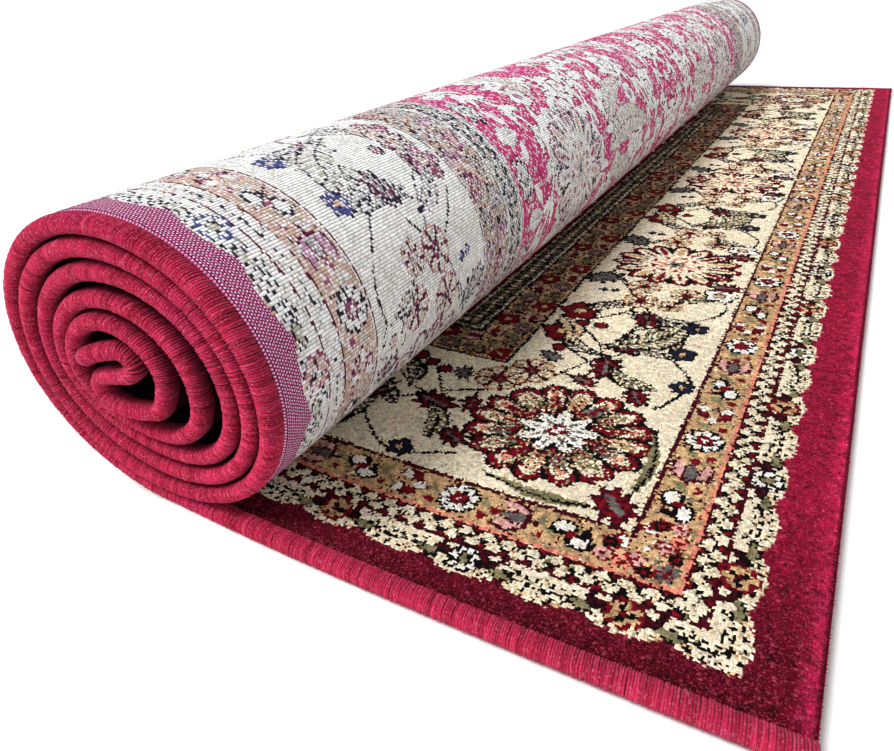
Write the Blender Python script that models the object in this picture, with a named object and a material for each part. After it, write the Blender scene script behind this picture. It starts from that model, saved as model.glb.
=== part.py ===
# A pile rug, partly rolled up along its length: pile inside, woven back outside.
# Metres, +Z up. The roll's axis runs along +Y, and the loose end lies flat towards +X.
# The origin is on the floor, at the middle of the whole object's box.

import math

import bmesh
import bpy
from mathutils import Vector

RUG_WIDTH = 1.500          # long side to long side, along the roll
SHEET_THICK = 0.0090       # woven back and pressed pile together
BINDING_THICK = 0.0102     # the overcast edge, through the sheet
BINDING_WIDTH = 0.0118     # the overcast edge, along the roll
SEAM_GAP = 0.0004          # between the sheet's edge and its binding
FLAT_REACH = 0.3345        # loose end's edge, from the roll's axis
FLAT_STEP = 0.030          # spacing of the sections along the loose end
EDGE_ROUND = 0.0020        # softened corners of the loose end's edge
AXIS_X = 0.003             # roll's axis, before the object is centred
AXIS_Z = 0.092
OUTER_STEPS = 8            # sections in a quarter turn, outer two turns
INNER_STEPS = 6            # sections in a quarter turn, inner turns
CORE_STEPS = 5             # sections between two rows of the core's table
BODY_STATIONS = 3          # sections of the sheet along the roll
BINDING_SIDES = 8

# The sheet's middle line, a row for each quarter turn, from under the roll to the core.
# near and far: distance from the roll's axis at the near and the far end of the roll.
# set_back: how far the near edge stands back from the front plane.
TURN_COLUMNS = ("quarter", "near", "far", "set_back")
TURN_ROWS = (
    ("bottom 1", 0.0867, 0.0867, 0.008),
    ("left 1", 0.0840, 0.0815, 0.000),
    ("top 1", 0.0770, 0.0770, 0.000),
    ("right 1", 0.0890, 0.0790, 0.003),
    ("bottom 2", 0.0750, 0.0750, 0.005),
    ("left 2", 0.0730, 0.0700, 0.000),
    ("top 2", 0.0657, 0.0657, 0.000),
    ("right 2", 0.0780, 0.0675, 0.003),
    ("bottom 3", 0.0628, 0.0630, 0.006),
    ("left 3", 0.0585, 0.0580, 0.000),
    ("top 3", 0.0540, 0.0540, 0.000),
    ("right 3", 0.0665, 0.0555, 0.003),
    ("bottom 4", 0.0505, 0.0510, 0.007),
    ("left 4", 0.0475, 0.0470, 0.000),
    ("top 4", 0.0397, 0.0397, 0.000),
    ("right 4", 0.0475, 0.0430, 0.001),
    ("bottom 5", 0.0385, 0.0388, 0.005),
    ("left 5", 0.0365, 0.0360, -0.002),
    ("top 5", 0.0272, 0.0272, -0.001),
    ("right 5", 0.0255, 0.0250, 0.001),
)

# The core inside the last turn: along the bottom, a tight turn, back, and a hairpin to the sheet's end.
CORE_COLUMNS = ("x", "z", "set_back")
CORE_ROWS = (
    (0.0215, 0.0750, 0.000),
    (0.0110, 0.0697, 0.000),
    (-0.0035, 0.0683, -0.001),
    (-0.0128, 0.0712, -0.002),
    (-0.0182, 0.0774, -0.003),
    (-0.0175, 0.0843, -0.003),
    (-0.0108, 0.0883, -0.003),
    (-0.0010, 0.0903, -0.003),
    (0.0080, 0.0929, -0.003),
    (0.0143, 0.0993, -0.003),
    (0.0080, 0.1057, -0.003),
    (-0.0020, 0.1045, -0.004),
    (-0.0120, 0.1018, -0.005),
    (-0.0190, 0.0988, -0.006),
)


def clear_scene():
    for old in list(bpy.data.objects):
        bpy.data.objects.remove(old, do_unlink=True)


def spline(before, start, end, after, t):
    """Value between start and end on a smooth curve through all four."""
    pull = (end - before) * 0.5
    leave = (after - start) * 0.5
    bend = (start - end) * 2 + pull + leave
    rise = (end - start) * 3 - pull * 2 - leave
    return start + pull * t + rise * t * t + bend * t * t * t


def row_vector(row, along):
    """A quarter's distance from the axis at a place along the roll, with its set-back."""
    value = dict(zip(TURN_COLUMNS, row))
    distance = value["near"] + (value["far"] - value["near"]) * along
    return Vector((distance, value["set_back"]))


def flat_points():
    """The loose end's middle line, from its edge to the foot of the roll."""
    foot = row_vector(TURN_ROWS[0], 0.0)
    span = FLAT_REACH - AXIS_X
    count = round(span / FLAT_STEP)
    points = []
    for i in range(count):
        share = i / count
        x = FLAT_REACH - span * share
        points.append(Vector((x, foot.y * share ** 3, AXIS_Z - foot.x)))
    return points


def turn_points(along):
    """The wound turns' middle line, clockwise from under the roll as seen from the near end."""
    rows = [row_vector(row, along) for row in TURN_ROWS]
    rows = [rows[1]] + rows
    points = []
    for i in range(1, len(rows) - 1):
        after = rows[i + 2] if i + 2 < len(rows) else rows[i + 1] * 2 - rows[i]
        steps = OUTER_STEPS if i <= 8 else INNER_STEPS
        for k in range(steps):
            t = k / steps
            value = spline(rows[i - 1], rows[i], rows[i + 1], after, t)
            angle = -math.pi / 2 * (i + t)
            x = AXIS_X + value.x * math.cos(angle)
            z = AXIS_Z + value.x * math.sin(angle)
            points.append(Vector((x, value.y, z)))
    last = rows[-1]
    points.append(Vector((AXIS_X + last.x, last.y, AXIS_Z)))
    return points


def core_points(lead):
    """The core's middle line, going on smoothly from the last point of the turns."""
    knots = [lead[0], lead[1]]
    for row in CORE_ROWS:
        value = dict(zip(CORE_COLUMNS, row))
        knots.append(Vector((value["x"], value["set_back"], value["z"])))
    knots.append(knots[-1] * 2 - knots[-2])
    points = []
    for i in range(1, len(knots) - 2):
        for k in range(1, CORE_STEPS + 1):
            points.append(spline(knots[i - 1], knots[i], knots[i + 1], knots[i + 2], k / CORE_STEPS))
    return points


def middle_line(along):
    """The sheet's whole middle line at a place along the roll. Its y is the near edge's set-back."""
    turns = turn_points(along)
    lead = (turns[-3], turns[-1])
    return flat_points() + turns + core_points(lead)


def side_vectors(points):
    """Unit vectors across the sheet, from its back to its pile, in the XZ plane."""
    sides = []
    for i, point in enumerate(points):
        ahead = points[min(i + 1, len(points) - 1)]
        behind = points[max(i - 1, 0)]
        way = Vector((ahead.x - behind.x, 0.0, ahead.z - behind.z)).normalized()
        sides.append(Vector((way.z, 0.0, -way.x)))
    return sides


def sheet_pairs(points):
    """Back and pile corners of the sheet's section, from the loose end's edge to the core."""
    lower = BINDING_THICK / 2
    upper = SHEET_THICK - lower
    pairs = []
    for point, side in zip(points, side_vectors(points)):
        pairs.append((point - side * lower, point + side * upper))
    back, pile = pairs[0]
    inward = Vector((-EDGE_ROUND, 0.0, 0.0))
    rise = Vector((0.0, 0.0, EDGE_ROUND))
    edge = [(back + rise, pile - rise), (back + inward, pile + inward)]
    return edge + pairs[1:]


def wall_between(bm, first, second):
    """Walls between two equal closed rings of vertices."""
    count = len(first)
    for i in range(count):
        j = (i + 1) % count
        bm.faces.new((first[i], first[j], second[j], second[i]))


def strip_cap(bm, ring):
    """A cap of narrow faces across a ring whose second half runs back beside its first."""
    last = len(ring) - 1
    for i in range(len(ring) // 2 - 1):
        bm.faces.new((ring[i], ring[i + 1], ring[last - i - 1], ring[last - i]))


def finish_object(name, bm, material):
    bmesh.ops.recalc_face_normals(bm, faces=bm.faces)
    mesh = bpy.data.meshes.new(name)
    bm.to_mesh(mesh)
    bm.free()
    mesh.materials.append(material)
    mesh.shade_smooth()
    mesh.set_sharp_from_angle(angle=math.radians(50))
    made = bpy.data.objects.new(name, mesh)
    bpy.context.scene.collection.objects.link(made)
    return made


def yarn_material(name, colour, roughness):
    material = bpy.data.materials.new(name)
    material.use_nodes = True
    shader = material.node_tree.nodes["Principled BSDF"]
    shader.inputs["Base Color"].default_value = (*colour, 1.0)
    shader.inputs["Roughness"].default_value = roughness
    shader.inputs["Metallic"].default_value = 0.0
    return material


def make_carpet(centre):
    """The rug: its section carried along the roll, from one binding to the other."""
    bm = bmesh.new()
    rings = []
    far_y = RUG_WIDTH - BINDING_WIDTH - SEAM_GAP
    for station in range(BODY_STATIONS):
        along = station / (BODY_STATIONS - 1)
        points = middle_line(along)
        pairs = sheet_pairs(points)
        backs = []
        piles = []
        for (back, pile), owner in zip(pairs, [points[0]] + points):
            near_y = BINDING_WIDTH + SEAM_GAP + owner.y
            y = near_y + (far_y - near_y) * along - centre.y
            backs.append(bm.verts.new((back.x - centre.x, y, back.z)))
            piles.append(bm.verts.new((pile.x - centre.x, y, pile.z)))
        rings.append(backs + list(reversed(piles)))
    for first, second in zip(rings, rings[1:]):
        wall_between(bm, first, second)
    strip_cap(bm, rings[0])
    strip_cap(bm, rings[-1])
    return finish_object("carpet", bm, yarn_material("pile_wool", (0.42, 0.02, 0.06), 0.95))


def make_binding(name, along, centre):
    """A rounded edging that follows the sheet's edge through every turn."""
    points = middle_line(along)
    sides = side_vectors(points)
    bm = bmesh.new()
    rings = []
    for point, side in zip(points, sides):
        if along < 0.5:
            middle_y = point.y + BINDING_WIDTH / 2
        else:
            middle_y = RUG_WIDTH - BINDING_WIDTH / 2
        ring = []
        for k in range(BINDING_SIDES):
            angle = math.tau * (k + 0.5) / BINDING_SIDES
            reach = 1.0 / math.cos(math.pi / BINDING_SIDES)
            across = math.sin(angle) * BINDING_THICK / 2 * reach
            y = middle_y + math.cos(angle) * BINDING_WIDTH / 2 * reach
            spot = point + side * across
            ring.append(bm.verts.new((spot.x - centre.x, y - centre.y, spot.z)))
        rings.append(ring)
    for first, second in zip(rings, rings[1:]):
        wall_between(bm, first, second)
    bm.faces.new(rings[0])
    bm.faces.new(rings[-1])
    return finish_object(name, bm, yarn_material(name + "_yarn", (0.55, 0.012, 0.07), 0.8))


def plan_centre():
    """Middle of the object's box in plan, which becomes the origin."""
    points = middle_line(0.0)
    sides = side_vectors(points)
    left = min(p.x - abs(s.x) * BINDING_THICK / 2 for p, s in zip(points, sides))
    front = min(p.y for p in points)
    return Vector(((left + FLAT_REACH) / 2, (front + RUG_WIDTH) / 2, 0.0))


def build():
    clear_scene()
    centre = plan_centre()
    make_carpet(centre)
    make_binding("binding_near", 0.0, centre)
    make_binding("binding_far", 1.0, centre)


build()
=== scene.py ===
# A pile rug, partly rolled up: pile inside, woven back outside, overcast yarn on both long edges.

import math

import bpy
import numpy as np
from mathutils import Matrix, Vector


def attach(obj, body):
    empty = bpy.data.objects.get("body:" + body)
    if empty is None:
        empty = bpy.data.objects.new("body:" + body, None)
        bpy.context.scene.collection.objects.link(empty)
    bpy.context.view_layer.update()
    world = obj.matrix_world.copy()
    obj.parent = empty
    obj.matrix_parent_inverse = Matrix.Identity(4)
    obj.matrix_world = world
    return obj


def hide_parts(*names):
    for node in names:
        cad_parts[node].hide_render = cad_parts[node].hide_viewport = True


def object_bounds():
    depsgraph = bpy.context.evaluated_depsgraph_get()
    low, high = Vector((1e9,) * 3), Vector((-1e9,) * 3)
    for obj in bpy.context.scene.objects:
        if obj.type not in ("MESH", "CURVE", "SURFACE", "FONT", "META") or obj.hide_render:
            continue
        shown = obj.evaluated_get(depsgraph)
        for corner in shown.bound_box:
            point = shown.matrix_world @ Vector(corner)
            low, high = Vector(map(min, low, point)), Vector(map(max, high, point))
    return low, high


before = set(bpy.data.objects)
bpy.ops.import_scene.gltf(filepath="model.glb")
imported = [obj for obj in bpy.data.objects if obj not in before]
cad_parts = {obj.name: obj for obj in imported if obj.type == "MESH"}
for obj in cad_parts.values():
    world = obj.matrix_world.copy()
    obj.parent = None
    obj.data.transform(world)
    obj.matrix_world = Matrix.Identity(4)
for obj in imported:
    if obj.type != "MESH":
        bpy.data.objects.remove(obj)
cadBox = [list(corner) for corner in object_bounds()]
print("frame loaded")

# The sheet's route, as the solids have it. Metres.
sheet = {
    "width": 1.500, "length": 2.2152, "thick": 0.0090, "bindingThick": 0.0102, "bindingWidth": 0.0118,
    "seamGap": 0.0004, "flatReach": 0.3345, "axisX": 0.003, "axisZ": 0.092, "coreSteps": 24, "turnSteps": 32,
}

# A row for each quarter turn, from under the roll to the core: how far the sheet's middle line
# is from the axis at the near and the far end, and how far the near edge stands back.
# Columns: quarter, near, far, setBack.
turnRows = (
    ("bottom 1", 0.0867, 0.0867, 0.008),
    ("left 1", 0.0840, 0.0815, 0.000),
    ("top 1", 0.0770, 0.0770, 0.000),
    ("right 1", 0.0890, 0.0790, 0.003),
    ("bottom 2", 0.0750, 0.0750, 0.005),
    ("left 2", 0.0730, 0.0700, 0.000),
    ("top 2", 0.0657, 0.0657, 0.000),
    ("right 2", 0.0780, 0.0675, 0.003),
    ("bottom 3", 0.0628, 0.0630, 0.006),
    ("left 3", 0.0585, 0.0580, 0.000),
    ("top 3", 0.0540, 0.0540, 0.000),
    ("right 3", 0.0665, 0.0555, 0.003),
    ("bottom 4", 0.0505, 0.0510, 0.007),
    ("left 4", 0.0475, 0.0470, 0.000),
    ("top 4", 0.0397, 0.0397, 0.000),
    ("right 4", 0.0475, 0.0430, 0.001),
    ("bottom 5", 0.0385, 0.0388, 0.005),
    ("left 5", 0.0365, 0.0360, -0.002),
    ("top 5", 0.0272, 0.0272, -0.001),
    ("right 5", 0.0255, 0.0250, 0.001),
)

# The core inside the last turn, ending in a hairpin.
# Columns: x, z, setBack.
coreRows = (
    (0.0215, 0.0750, 0.000),
    (0.0110, 0.0697, 0.000),
    (-0.0035, 0.0683, -0.001),
    (-0.0128, 0.0712, -0.002),
    (-0.0182, 0.0774, -0.003),
    (-0.0175, 0.0843, -0.003),
    (-0.0108, 0.0883, -0.003),
    (-0.0010, 0.0903, -0.003),
    (0.0080, 0.0929, -0.003),
    (0.0143, 0.0993, -0.003),
    (0.0080, 0.1057, -0.003),
    (-0.0020, 0.1045, -0.004),
    (-0.0120, 0.1018, -0.005),
    (-0.0190, 0.0988, -0.006),
)

backHeight = -sheet["bindingThick"] / 2                  # from the middle line
pileHeight = sheet["thick"] + backHeight
centreX = sheet["flatReach"] - cadBox[1][0]              # plan centre, taken off every place
centreY = sheet["width"] - cadBox[1][1]
sheetEdge = sheet["bindingWidth"] + sheet["seamGap"]     # from a long edge to where the pile starts


# Points on a smooth curve through the rows, rows[0] and rows[-1] being only its ends' leads.
def smoothRows(rows, steps):
    made = []
    for a, b, c, d in zip(rows, rows[1:], rows[2:], rows[3:]):
        for k in range(steps):
            t = k / steps
            pull, leave = (c - a) / 2, (d - b) / 2
            made.append(b + pull * t + (3 * (c - b) - 2 * pull - leave) * t ** 2
                        + (2 * (b - c) + pull + leave) * t ** 3)
    return np.array(made)


# The sheet's middle line at a place along the roll: x, set-back, z, one row for each point.
def sheetLine(along):
    rows = np.array([(near + (far - near) * along, back) for _, near, far, back in turnRows])
    rows = np.vstack((rows[1], rows, rows[-1] * 2 - rows[-2]))
    steps = sheet["turnSteps"]
    turns = np.vstack((smoothRows(rows, steps), rows[-2]))
    angle = -math.pi / 2 * (1 + np.arange(len(turns)) / steps)
    turns = np.column_stack((sheet["axisX"] + turns[:, 0] * np.cos(angle), turns[:, 1],
                             sheet["axisZ"] + turns[:, 0] * np.sin(angle)))
    core = [np.array((x, back, z)) for x, z, back in coreRows]
    leadStep = steps // 3
    core = smoothRows(np.array([turns[-1 - leadStep], turns[-1], *core, core[-1] * 2 - core[-2]]),
                      sheet["coreSteps"])[1:]
    share = np.linspace(0, 1, 60, endpoint=False)
    span = sheet["flatReach"] - sheet["axisX"]
    flat = np.column_stack((sheet["flatReach"] - span * share, turns[0, 1] * share ** 3,
                            np.full(60, turns[0, 2])))
    return np.vstack((flat, turns, core))


# Places on the sheet by u, the way from the loose edge, and by the share of the way along the roll.
class Surface:
    def __init__(self, along):
        line = sheetLine(along)
        step = np.hypot(np.diff(line[:, 0]), np.diff(line[:, 2]))
        self.u = np.concatenate(([0.0], np.cumsum(step)))
        self.line = line
        way = np.gradient(line[:, (0, 2)], axis=0)
        way /= np.linalg.norm(way, axis=1)[:, None]
        self.side = np.column_stack((way[:, 1], -way[:, 0]))      # from the back to the pile, x and z
        self.along = along

    # Places at the given u and height over the middle line. Returns an array of x, y, z.
    def at(self, u, height):
        x, back, z = (np.interp(u, self.u, self.line[:, i]) for i in range(3))
        sx, sz = (np.interp(u, self.u, self.side[:, i]) for i in range(2))
        near = sheetEdge + back
        y = near + (sheet["width"] - sheetEdge - near) * self.along
        return np.column_stack((x + sx * height - centreX, y - centreY, z + sz * height))


# The loose end isn't quite flat: a slow rise and fall, less than a millimetre, dying out under the roll.
def ripple(points):
    x, y = points[:, 0] + centreX, points[:, 1] + centreY
    free = np.clip((x - 0.09) / 0.20, 0, 1) * (points[:, 2] < 0.03)
    lift = 0.45 + 0.35 * np.sin(y * 13.0 + 0.8) + 0.20 * np.sin(y * 31.0 + x * 18)
    return points + np.column_stack((np.zeros((len(points), 2)), 0.0011 * lift * free))


# A mesh piece from arrays. faces is an array of quads, or a list of lists.
def newPiece(name, points, faces, material, smooth=True):
    mesh = bpy.data.meshes.new(name)
    mesh.from_pydata(np.asarray(points).tolist(), [], [list(map(int, f)) for f in faces])
    mesh.materials.append(material)
    mesh.polygons.foreach_set("use_smooth", [smooth] * len(mesh.polygons))
    mesh.update()
    made = bpy.data.objects.new(name, mesh)
    bpy.context.scene.collection.objects.link(made)
    return made


# A socket whose arithmetic adds Math nodes to its graph.
class Signal:
    def __init__(self, graph, socket):
        self.graph, self.socket = graph, socket

    def maths(self, operation, other=None, reverse=False):
        values = [self, other] if not reverse else [other, self]
        inputs = {i: v for i, v in enumerate(values) if v is not None}
        return self.graph.node("ShaderNodeMath", {"operation": operation}, inputs)

    def __add__(self, other):
        return self.maths("ADD", other)

    def __radd__(self, other):
        return self.maths("ADD", other, True)

    def __sub__(self, other):
        return self.maths("SUBTRACT", other)

    def __rsub__(self, other):
        return self.maths("SUBTRACT", other, True)

    def __mul__(self, other):
        return self.maths("MULTIPLY", other)

    def __rmul__(self, other):
        return self.maths("MULTIPLY", other, True)

    def __pow__(self, other):
        return self.maths("POWER", other)

    def fraction(self):
        return self.maths("FRACT")

    def above(self, other):
        return self.maths("GREATER_THAN", other)

    # 0 at low, 1 at high, and smooth between them.
    def between(self, low, high):
        return self.graph.node("ShaderNodeMapRange", {"interpolation_type": "SMOOTHSTEP", "clamp": True},
                               {"Value": self, "From Min": low, "From Max": high})


# A material's nodes.
class Graph:
    def __init__(self, name, roughness, sheen, sheenTint):
        self.material = bpy.data.materials.new(name)
        self.material.use_nodes = True
        self.tree = self.material.node_tree
        self.shader = self.tree.nodes["Principled BSDF"]
        self.shader.inputs["Roughness"].default_value = roughness
        self.shader.inputs["Metallic"].default_value = 0.0
        self.shader.inputs["Specular IOR Level"].default_value = 0.08
        self.shader.inputs["Sheen Weight"].default_value = sheen
        self.shader.inputs["Sheen Roughness"].default_value = 0.45
        self.shader.inputs["Sheen Tint"].default_value = (*sheenTint, 1.0)

    def node(self, kind, settings=None, inputs=None, output=0):
        made = self.tree.nodes.new(kind)
        for name, value in (settings or {}).items():
            setattr(made, name, value)
        for name, value in (inputs or {}).items():
            self.put(made.inputs[name], value)
        return Signal(self, made.outputs[output])

    def put(self, socket, value):
        if isinstance(value, Signal):
            self.tree.links.new(value.socket, socket)
        elif socket.type == "RGBA":
            socket.default_value = (*value, 1.0)[:4]
        else:
            socket.default_value = value

    def mix(self, factor, first, second, blend="MIX"):
        made = self.tree.nodes.new("ShaderNodeMix")
        made.data_type = "RGBA"
        made.blend_type = blend
        self.put(made.inputs[0], factor)
        self.put(made.inputs[6], first)
        self.put(made.inputs[7], second)
        return Signal(self, made.outputs[2])

    def noise(self, where, scale, detail=2.0, rough=0.6):
        return self.node("ShaderNodeTexNoise", None,
                         {"Vector": where, "Scale": scale, "Detail": detail, "Roughness": rough})

    def split(self, vector):
        made = self.node("ShaderNodeSeparateXYZ", None, {0: vector})
        return [Signal(self, made.socket.node.outputs[i]) for i in range(3)]

    def join(self, x, y, z=0.0):
        return self.node("ShaderNodeCombineXYZ", None, {0: x, 1: y, 2: z})

    def scaled(self, vector, by):
        return self.node("ShaderNodeVectorMath", {"operation": "MULTIPLY"}, {0: vector, 1: by})

    def place(self):
        return self.node("ShaderNodeTexCoord", output="Object")

    def finish(self, colour, height=None, depth=0.0004, strength=0.8, roughness=None):
        self.put(self.shader.inputs["Base Color"], colour)
        if roughness is not None:
            self.put(self.shader.inputs["Roughness"], roughness)
        if height is not None:
            bump = self.node("ShaderNodeBump", None,
                             {"Height": height, "Distance": depth, "Strength": strength})
            self.put(self.shader.inputs["Normal"], bump)
        return self.material


# A colour given as 0 to 255, as a shader's linear values.
def linear(red, green, blue):
    return tuple(c / 255 / 12.92 if c <= 10 else ((c / 255 + 0.055) / 1.055) ** 2.4
                 for c in (red, green, blue))


# Cut pile: each knot a soft tuft, with painted shade in the gaps between tufts, its yarn from the chart.
def pileMaterial():
    g = Graph("cutPile", 0.95, 0.0, (1.0, 0.85, 0.85))
    yarnColour = g.node("ShaderNodeAttribute", {"attribute_name": "yarnColour"}, output="Color")
    knotMap = g.node("ShaderNodeUVMap", {"uv_map": "knots"})
    kx, ky, _ = g.split(knotMap)
    dome = (1 - (kx.fraction() * 2 - 1) ** 2) * (1 - (ky.fraction() * 2 - 1) ** 2)
    fibre = g.noise(g.place(), 1700, 2.0, 0.7)
    clump = g.noise(g.place(), 360, 2.0, 0.6)
    nap = g.noise(g.scaled(g.place(), (16.0, 9.0, 16.0)), 1.0, 3.0, 0.6)
    # shade: painted shade in the gaps between tufts from the dome, times the random tone of fibres, clumps
    # and nap streaks
    shade = 0.76 + dome ** 0.5 * 0.32 + (fibre - 0.5) * 1.10 + (clump - 0.5) * 1.00 + (nap - 0.5) * 0.40
    plain = g.node("ShaderNodeAttribute", {"attribute_name": "plain"}, output="Fac")
    speck = g.noise(g.place(), 1050, 1.0, 0.5).between(0.55, 0.70)
    colour = g.mix(speck * plain * 0.38, yarnColour, linear(214, 80, 112))
    colour = g.mix(1.0, colour, g.join(shade, shade, shade), "MULTIPLY")
    return g.finish(colour, dome * 0.5 + fibre * 0.7 + clump * 0.9, 0.0011, 0.9)


# Woven back: ribs along the roll, each knot a short stitch across its rib, with painted shade in the grooves.
# The plain edge has fine dotted rows, with painted shade in the dark lines between the rows.
def backMaterial():
    g = Graph("wovenBack", 0.90, 0.0, (1.0, 1.0, 1.0))
    yarnColour = g.node("ShaderNodeAttribute", {"attribute_name": "yarnColour"}, output="Color")
    plain = g.node("ShaderNodeAttribute", {"attribute_name": "plain"}, output="Fac")
    knotMap = g.node("ShaderNodeUVMap", {"uv_map": "knots"})
    kx, ky, _ = g.split(knotMap)
    row = ky * 0.86
    dots = (kx + (row * 0.5).fraction().above(0.5) * 0.5).fraction().above(0.52)
    fibre = g.noise(g.place(), 2200, 2.0, 0.7)
    slub = g.noise(g.scaled(g.place(), (260.0, 40.0, 260.0)), 1.0, 2.0, 0.6)
    edge = g.mix(dots, linear(172, 34, 104), linear(228, 190, 214))
    # painted shade: dark lines between the dotted rows
    edge = g.mix(row.fraction().above(0.62), edge, linear(84, 14, 58))
    colour = g.mix(plain, yarnColour, edge)
    rib = 1 - (kx.fraction() * 2 - 1) ** 2
    # groove: painted shade in the grooves between the ribs, weaker over the plain edge
    groove = rib.between(0.0, 0.50).maths("MAXIMUM", plain * 0.66)
    shade = 0.30 + groove * 0.74 + (fibre - 0.5) * 0.34 + (slub - 0.5) * 0.24
    colour = g.mix(1.0, colour, g.join(shade, shade, shade), "MULTIPLY")
    return g.finish(colour, rib * 1.0 + fibre * 0.22, 0.0006, 0.9)


# The sheet's own body: crimson yarn at the raw edge, painted near black as shade between the turns inside the
# roll.
def sideMaterial():
    g = Graph("sheetSide", 0.95, 0.02, (1.0, 0.8, 0.85))
    fibre = g.noise(g.scaled(g.place(), (1500.0, 1500.0, 240.0)), 1.0, 3.0, 0.65)
    paintedRollShade = g.node("ShaderNodeAttribute", {"attribute_name": "paintedRollShade"}, output="Fac")
    colour = g.mix(fibre.between(0.32, 0.68), linear(88, 3, 24), linear(176, 22, 58))
    # painted shade: near black where the sheet lies inside the roll
    colour = g.mix(paintedRollShade, colour, linear(22, 2, 6))
    return g.finish(colour, fibre, 0.0008, 0.8)


# Crimson overcasting yarn. Each wrap has its own tone, its fibres run along the strand. It has painted shade
# between the strands and where two turns meet, and its paler fibres are partly painted highlights.
def bindingMaterial():
    g = Graph("overcastYarn", 0.75, 0.08, (1.0, 0.60, 0.74))
    tone = g.node("ShaderNodeAttribute", {"attribute_name": "wrapTone"}, output="Fac")
    strand = g.node("ShaderNodeAttribute", {"attribute_name": "strandPlace"}, output="Vector")
    sx, sy, _ = g.split(strand)
    fibre = g.noise(g.join(sx * 5.0, sy * 34.0, tone * 60.0), 1.0, 3.0, 0.65)
    patch = g.noise(g.place(), 24, 2.0, 0.5)
    fuzz = g.noise(g.place(), 900, 2.0, 0.7)
    crestUnshaded = g.node("ShaderNodeAttribute", {"attribute_name": "crestUnshaded"}, output="Fac")
    colour = g.mix(tone, linear(170, 8, 48), linear(228, 42, 92))
    colour = g.mix(patch.between(0.50, 0.75) * 0.30, colour, linear(172, 26, 100))
    # paler fibres along the strand, partly painted highlights
    colour = g.mix(fibre.between(0.52, 0.80) * 0.55, colour, linear(240, 88, 134))
    colour = g.mix(fuzz.between(0.50, 0.72) * 0.62, colour, linear(248, 136, 166))
    colour = g.mix((1 - fibre).between(0.56, 0.84) * 0.45, colour, linear(104, 2, 28))
    colour = g.mix((tone - 1.0).between(0.1, 0.3) * 0.50, colour, linear(244, 112, 150))
    # painted shade: dark between the strands and where two turns meet
    colour = g.mix((1 - crestUnshaded) * 0.84, colour, linear(56, 0, 14))
    return g.finish(colour, fibre + fuzz * 0.6, 0.0007, 0.75)


print("materials made")


yarnNames = ("red", "maroon", "black", "cream", "white", "gold", "salmon", "olive",
             "grey", "wine", "pink", "blue", "field")
yarnNumber = {name: i for i, name in enumerate(yarnNames)}

# Bands from the rug's edge inwards: where each ends, and its ground yarn.
# Columns: name, end, ground.
bandRows = (
    ("edge", 0.0455, "red"),
    ("scallopLine", 0.0478, "maroon"),
    ("dogtooth", 0.0592, "cream"),
    ("salmonLine", 0.0624, "salmon"),
    ("goldGuard", 0.0888, "gold"),
    ("goldLine", 0.0916, "maroon"),
    ("mainBorder", 0.2226, "cream"),
    ("mainLine", 0.2252, "black"),
    ("innerGuard", 0.2620, "gold"),
    ("innerLine", 0.2650, "black"),
    ("narrowGuard", 0.2870, "grey"),
    ("fieldLine", 0.2900, "maroon"),
)

pattern = {
    "longEdgeShift": 0.0022,      # the binding takes this much of the long side's red band
    "scallopPitch": 0.0400, "guardPitch": 0.0325, "innerPitch": 0.0225, "narrowPitch": 0.0135,
    "toothPitch": 0.0120, "firstRose": 0.1590, "roseAcross": 0.1575, "rosesShort": 2, "rosesLong": 3,
    "ragged": 0.00052, "backInk": 0.50, "backLine": 0.0013,
}


# Knots with a place each: x along a border and y in from the edge, or u and v on the field.
# ink is how wide the dark outlines are, 1 on the pile and less on the woven back.
class Chart:
    def __init__(self, x, y, knots, index, ink=1.0):
        self.x, self.y, self.knots, self.index, self.ink = x, y, knots, index, ink

    def paint(self, mask, name):
        self.knots[self.index[mask]] = yarnNumber[name]

    def only(self, mask):
        return Chart(self.x[mask], self.y[mask], self.knots, self.index[mask], self.ink)

    def placed(self, x, y):
        return Chart(x, y, self.knots, self.index, self.ink)

    def turned(self, degrees):
        c, s = math.cos(math.radians(degrees)), math.sin(math.radians(degrees))
        return self.placed(self.x * c + self.y * s, self.y * c - self.x * s)

    def sized(self, size, stretch=1.0):
        return self.placed(self.x / size / stretch, self.y / size)

    def patch(self, x, y, reach, turn=0.0):
        near = self.only((np.abs(self.x - x) < reach) & (np.abs(self.y - y) < reach))
        return near.placed(near.x - x, near.y - y).turned(turn)


def fold(t, pitch):
    return np.abs((t + pitch / 2) % pitch - pitch / 2)


# The same points, joined smoothly.
def curve(points, steps=6):
    p = [points[0]] + list(points) + [points[-1]]
    made = []
    for a, b, c, d in zip(p, p[1:], p[2:], p[3:]):
        for k in range(steps):
            t = k / steps
            made.append(tuple(0.5 * (2 * q + (r - o) * t + (2 * o - 5 * q + 4 * r - s) * t * t
                                     + (3 * q - o - 3 * r + s) * t ** 3)
                              for o, q, r, s in zip(a, b, c, d)))
    return made + [points[-1]]


def oval(c, x, y, a, b=None):
    return ((c.x - x) / a) ** 2 + ((c.y - y) / (b or a)) ** 2 < 1


# Oval petals round the patch's middle.
def petals(c, count, inner, outer, half, turn=0.0):
    r = np.hypot(c.x, c.y)
    step = math.tau / count
    b = (np.arctan2(c.y, c.x) - math.radians(turn) + step / 2) % step - step / 2
    px, py = r * np.cos(b), r * np.sin(b)
    return ((px - (inner + outer) / 2) / ((outer - inner) / 2)) ** 2 + (py / half) ** 2 < 1


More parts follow.
